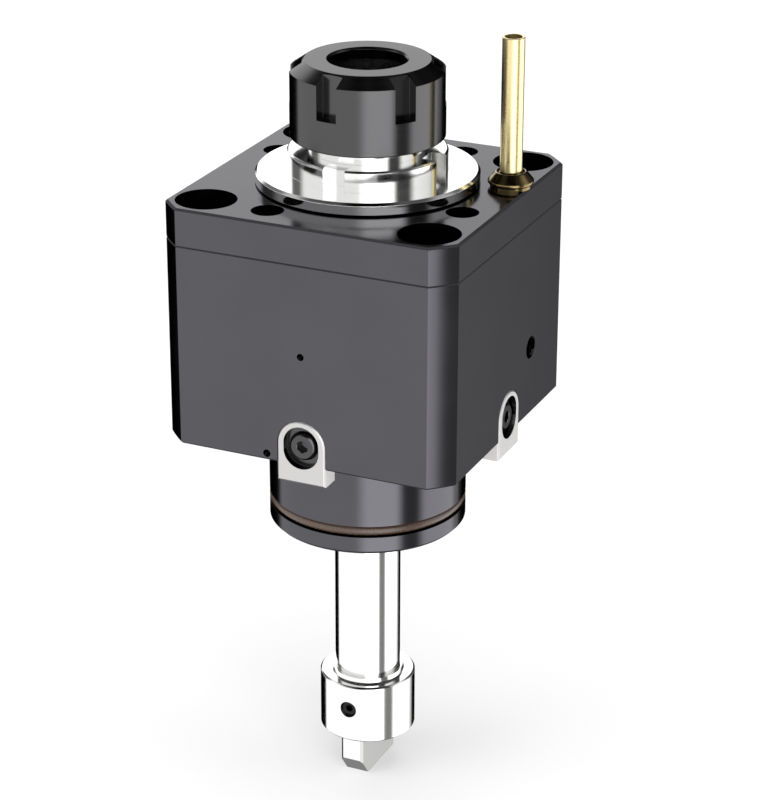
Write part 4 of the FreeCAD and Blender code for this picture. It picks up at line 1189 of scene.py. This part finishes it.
class HOLDER_OT_studio(bpy.types.Operator):
    """Sets up floor, walls, lights and camera"""
    bl_idname = "holder.studio"
    bl_label = "Studio"

    def execute(self, context):
        settings = context.scene.holder_studio
        self.floor(settings)
        self.walls(settings)
        self.lights()
        self.camera(context, settings)
        return {"FINISHED"}

    def floor(self, settings):
        """Pale floor that keeps the object's faint shadow and doesn't show in the metal."""
        deselect_all()
        bpy.ops.mesh.primitive_circle_add(
            vertices=SMALL_SEGMENTS, radius=settings.floor_radius, fill_type="NGON",
            location=(0, 0, cad_bounds[0][2] - FLOOR_GAP),
        )
        floor = bpy.context.active_object
        floor.name = "floor"
        floor.visible_glossy = False
        material = new_material("pale_matt_paper")
        tree = material.node_tree
        grain = mottle(tree, 2.0 * MM)
        glow = add_node(tree, "Emission", {"Strength": settings.floor_glow})
        fibres = spread(tree, grain, 0.3, 0.6)
        paper = add_node(tree, "BsdfDiffuse", {"Color": linear("AEAEAE"), "Roughness": fibres})
        ground = add_node(tree, "AddShader", {0: glow.outputs["Emission"], 1: paper.outputs["BSDF"]})
        add_node(tree, "OutputMaterial", {"Surface": ground.outputs["Shader"]})
        floor.data.materials.append(material)

    def walls(self, settings):
        """The studio round the object: pale to the camera, bright and dark walls in reflections."""
        world = bpy.data.worlds.new("studio")
        bpy.context.scene.world = world
        world.use_nodes = True
        tree = world.node_tree
        tree.nodes.clear()
        split = add_node(tree, "SeparateXYZ", {"Vector": add_node(tree, "TexCoord").outputs["Generated"]})
        height = split.outputs["Z"]
        front = add_node(tree, "Math", {0: split.outputs["Y"], 1: -1.0}, operation="MULTIPLY")
        turn = {0: split.outputs["X"], 1: front.outputs["Value"]}
        angle = add_node(tree, "Math", turn, operation="ARCTAN2").outputs["Value"]
        walls_level = {
            "Factor": self.levels(tree, height, 1.0, UPPER_SHARE),
            "A": self.levels(tree, angle, math.pi, LOWER_WALLS),
            "B": self.levels(tree, angle, math.pi, UPPER_WALLS),
        }
        walls = add_node(tree, "Math", {
            0: add_node(tree, "Mix", walls_level).outputs["Result"],
            1: self.levels(tree, height, 1.0, CEILING),
        }, operation="MULTIPLY")
        room = add_node(tree, "Math", {
            0: self.levels(tree, angle, math.pi, CEILING_SIDES),
            1: self.levels(tree, height, 1.0, CEILING_HEIGHT),
            2: walls.outputs["Value"],
        }, operation="MULTIPLY_ADD")
        strength = {0: room.outputs["Value"], 1: settings.wall_level}
        scaled = add_node(tree, "Math", strength, operation="MULTIPLY")
        white = linear("FFFFFF")
        mirrored = add_node(tree, "Background", {"Color": white, "Strength": scaled.outputs["Value"]})
        pale = add_node(tree, "Background", {"Color": linear("F4F4F4"), "Strength": 1.0})
        seen = add_node(tree, "MixShader", {
            "Fac": add_node(tree, "LightPath").outputs["Is Camera Ray"],
            1: mirrored.outputs["Background"],
            2: pale.outputs["Background"],
        })
        add_node(tree, "OutputWorld", {"Surface": seen.outputs["Shader"]})

    def levels(self, tree, source, reach, stops):
        """Grey ramp over a source that runs from minus to plus its reach."""
        share = add_node(tree, "MapRange", {"Value": source, "From Min": -reach, "From Max": reach})
        ramp = add_node(tree, "ValToRGB", {"Fac": share.outputs["Result"]})
        elements = ramp.color_ramp.elements
        for (place, level), element in zip((stops[0], stops[-1]), elements):
            element.position = place
            element.color = (level, level, level, 1.0)
        for place, level in stops[1:-1]:
            elements.new(place).color = (level, level, level, 1.0)
        return ramp.outputs["Color"]

    def lights(self):
        """Two large soft lights, overhead and from the camera's left."""
        for name, place, size, watts in SOFT_LIGHTS:
            deselect_all()
            turn = (-Vector(place)).to_track_quat("-Z", "Y").to_euler()
            bpy.ops.object.light_add(type="AREA", location=place, rotation=turn)
            light = bpy.context.active_object
            light.name = name
            light.data.shape = "SQUARE"
            light.data.size = size
            light.data.energy = watts
            light.visible_glossy = False

    def camera(self, context, settings):
        """The camera at the photograph's angle."""
        target = Vector((0, 0, settings.camera_target_height))
        place = Vector(settings.camera_place)
        turn = (target - place).to_track_quat("-Z", "Y").to_euler()
        deselect_all()
        bpy.ops.object.camera_add(location=place, rotation=turn)
        camera = bpy.context.active_object
        camera.name = "camera"
        camera.data.lens = settings.lens
        camera.data.shift_x = settings.shift
        camera.data.clip_start = 0.01
        camera.data.clip_end = 20.0
        context.scene.camera = camera
        context.scene.view_settings.view_transform = "Standard"


OPERATORS = [
    HOLDER_OT_cad_finishes,
    HOLDER_OT_spindle,
    HOLDER_OT_collet_nut,
    HOLDER_OT_coupling,
    HOLDER_OT_cover_screws,
    HOLDER_OT_locating_keys,
    HOLDER_OT_coolant_plug,
    HOLDER_OT_nozzle,
    HOLDER_OT_studio,
]
GROUPS = {
    "holder_spindle": SpindleSizes,
    "holder_nut": NutSizes,
    "holder_coupling": CouplingSizes,
    "holder_keys": KeySizes,
    "holder_nozzle": NozzleSizes,
    "holder_screws": ScrewSizes,
    "holder_finishes": Finishes,
    "holder_studio": StudioSettings,
}


class HOLDER_PT_panel(bpy.types.Panel):
    """Lists the operators and the sizes and colours they use"""
    bl_idname = "HOLDER_PT_panel"
    bl_label = "Axial Driven Tool Holder"
    bl_space_type = "VIEW_3D"
    bl_region_type = "UI"
    bl_category = "Tool Holder"

    def draw(self, context):
        for kind in OPERATORS:
            self.layout.operator(kind.bl_idname)
        for group, kind in GROUPS.items():
            box = self.layout.box()
            box.label(text=kind.__name__)
            for name in kind.__annotations__:
                box.prop(getattr(context.scene, group), name)


def register():
    """Makes the groups, operators and panel known to Blender."""
    for kind in [*GROUPS.values(), *OPERATORS, HOLDER_PT_panel]:
        bpy.utils.register_class(kind)
    for name, kind in GROUPS.items():
        setattr(bpy.types.Scene, name, PointerProperty(type=kind))


def unregister():
    """Takes them away again."""
    for name in GROUPS:
        delattr(bpy.types.Scene, name)
    for kind in reversed([*GROUPS.values(), *OPERATORS, HOLDER_PT_panel]):
        bpy.utils.unregister_class(kind)


def run_operator(kind):
    """Calls an operator by its name, as its button does."""
    group, name = kind.bl_idname.split(".")
    getattr(getattr(bpy.ops, group), name)()


def main():
    """Builds and dresses the whole holder."""
    register()
    for kind in OPERATORS:
        run_operator(kind)


if __name__ == "__main__":
    main()
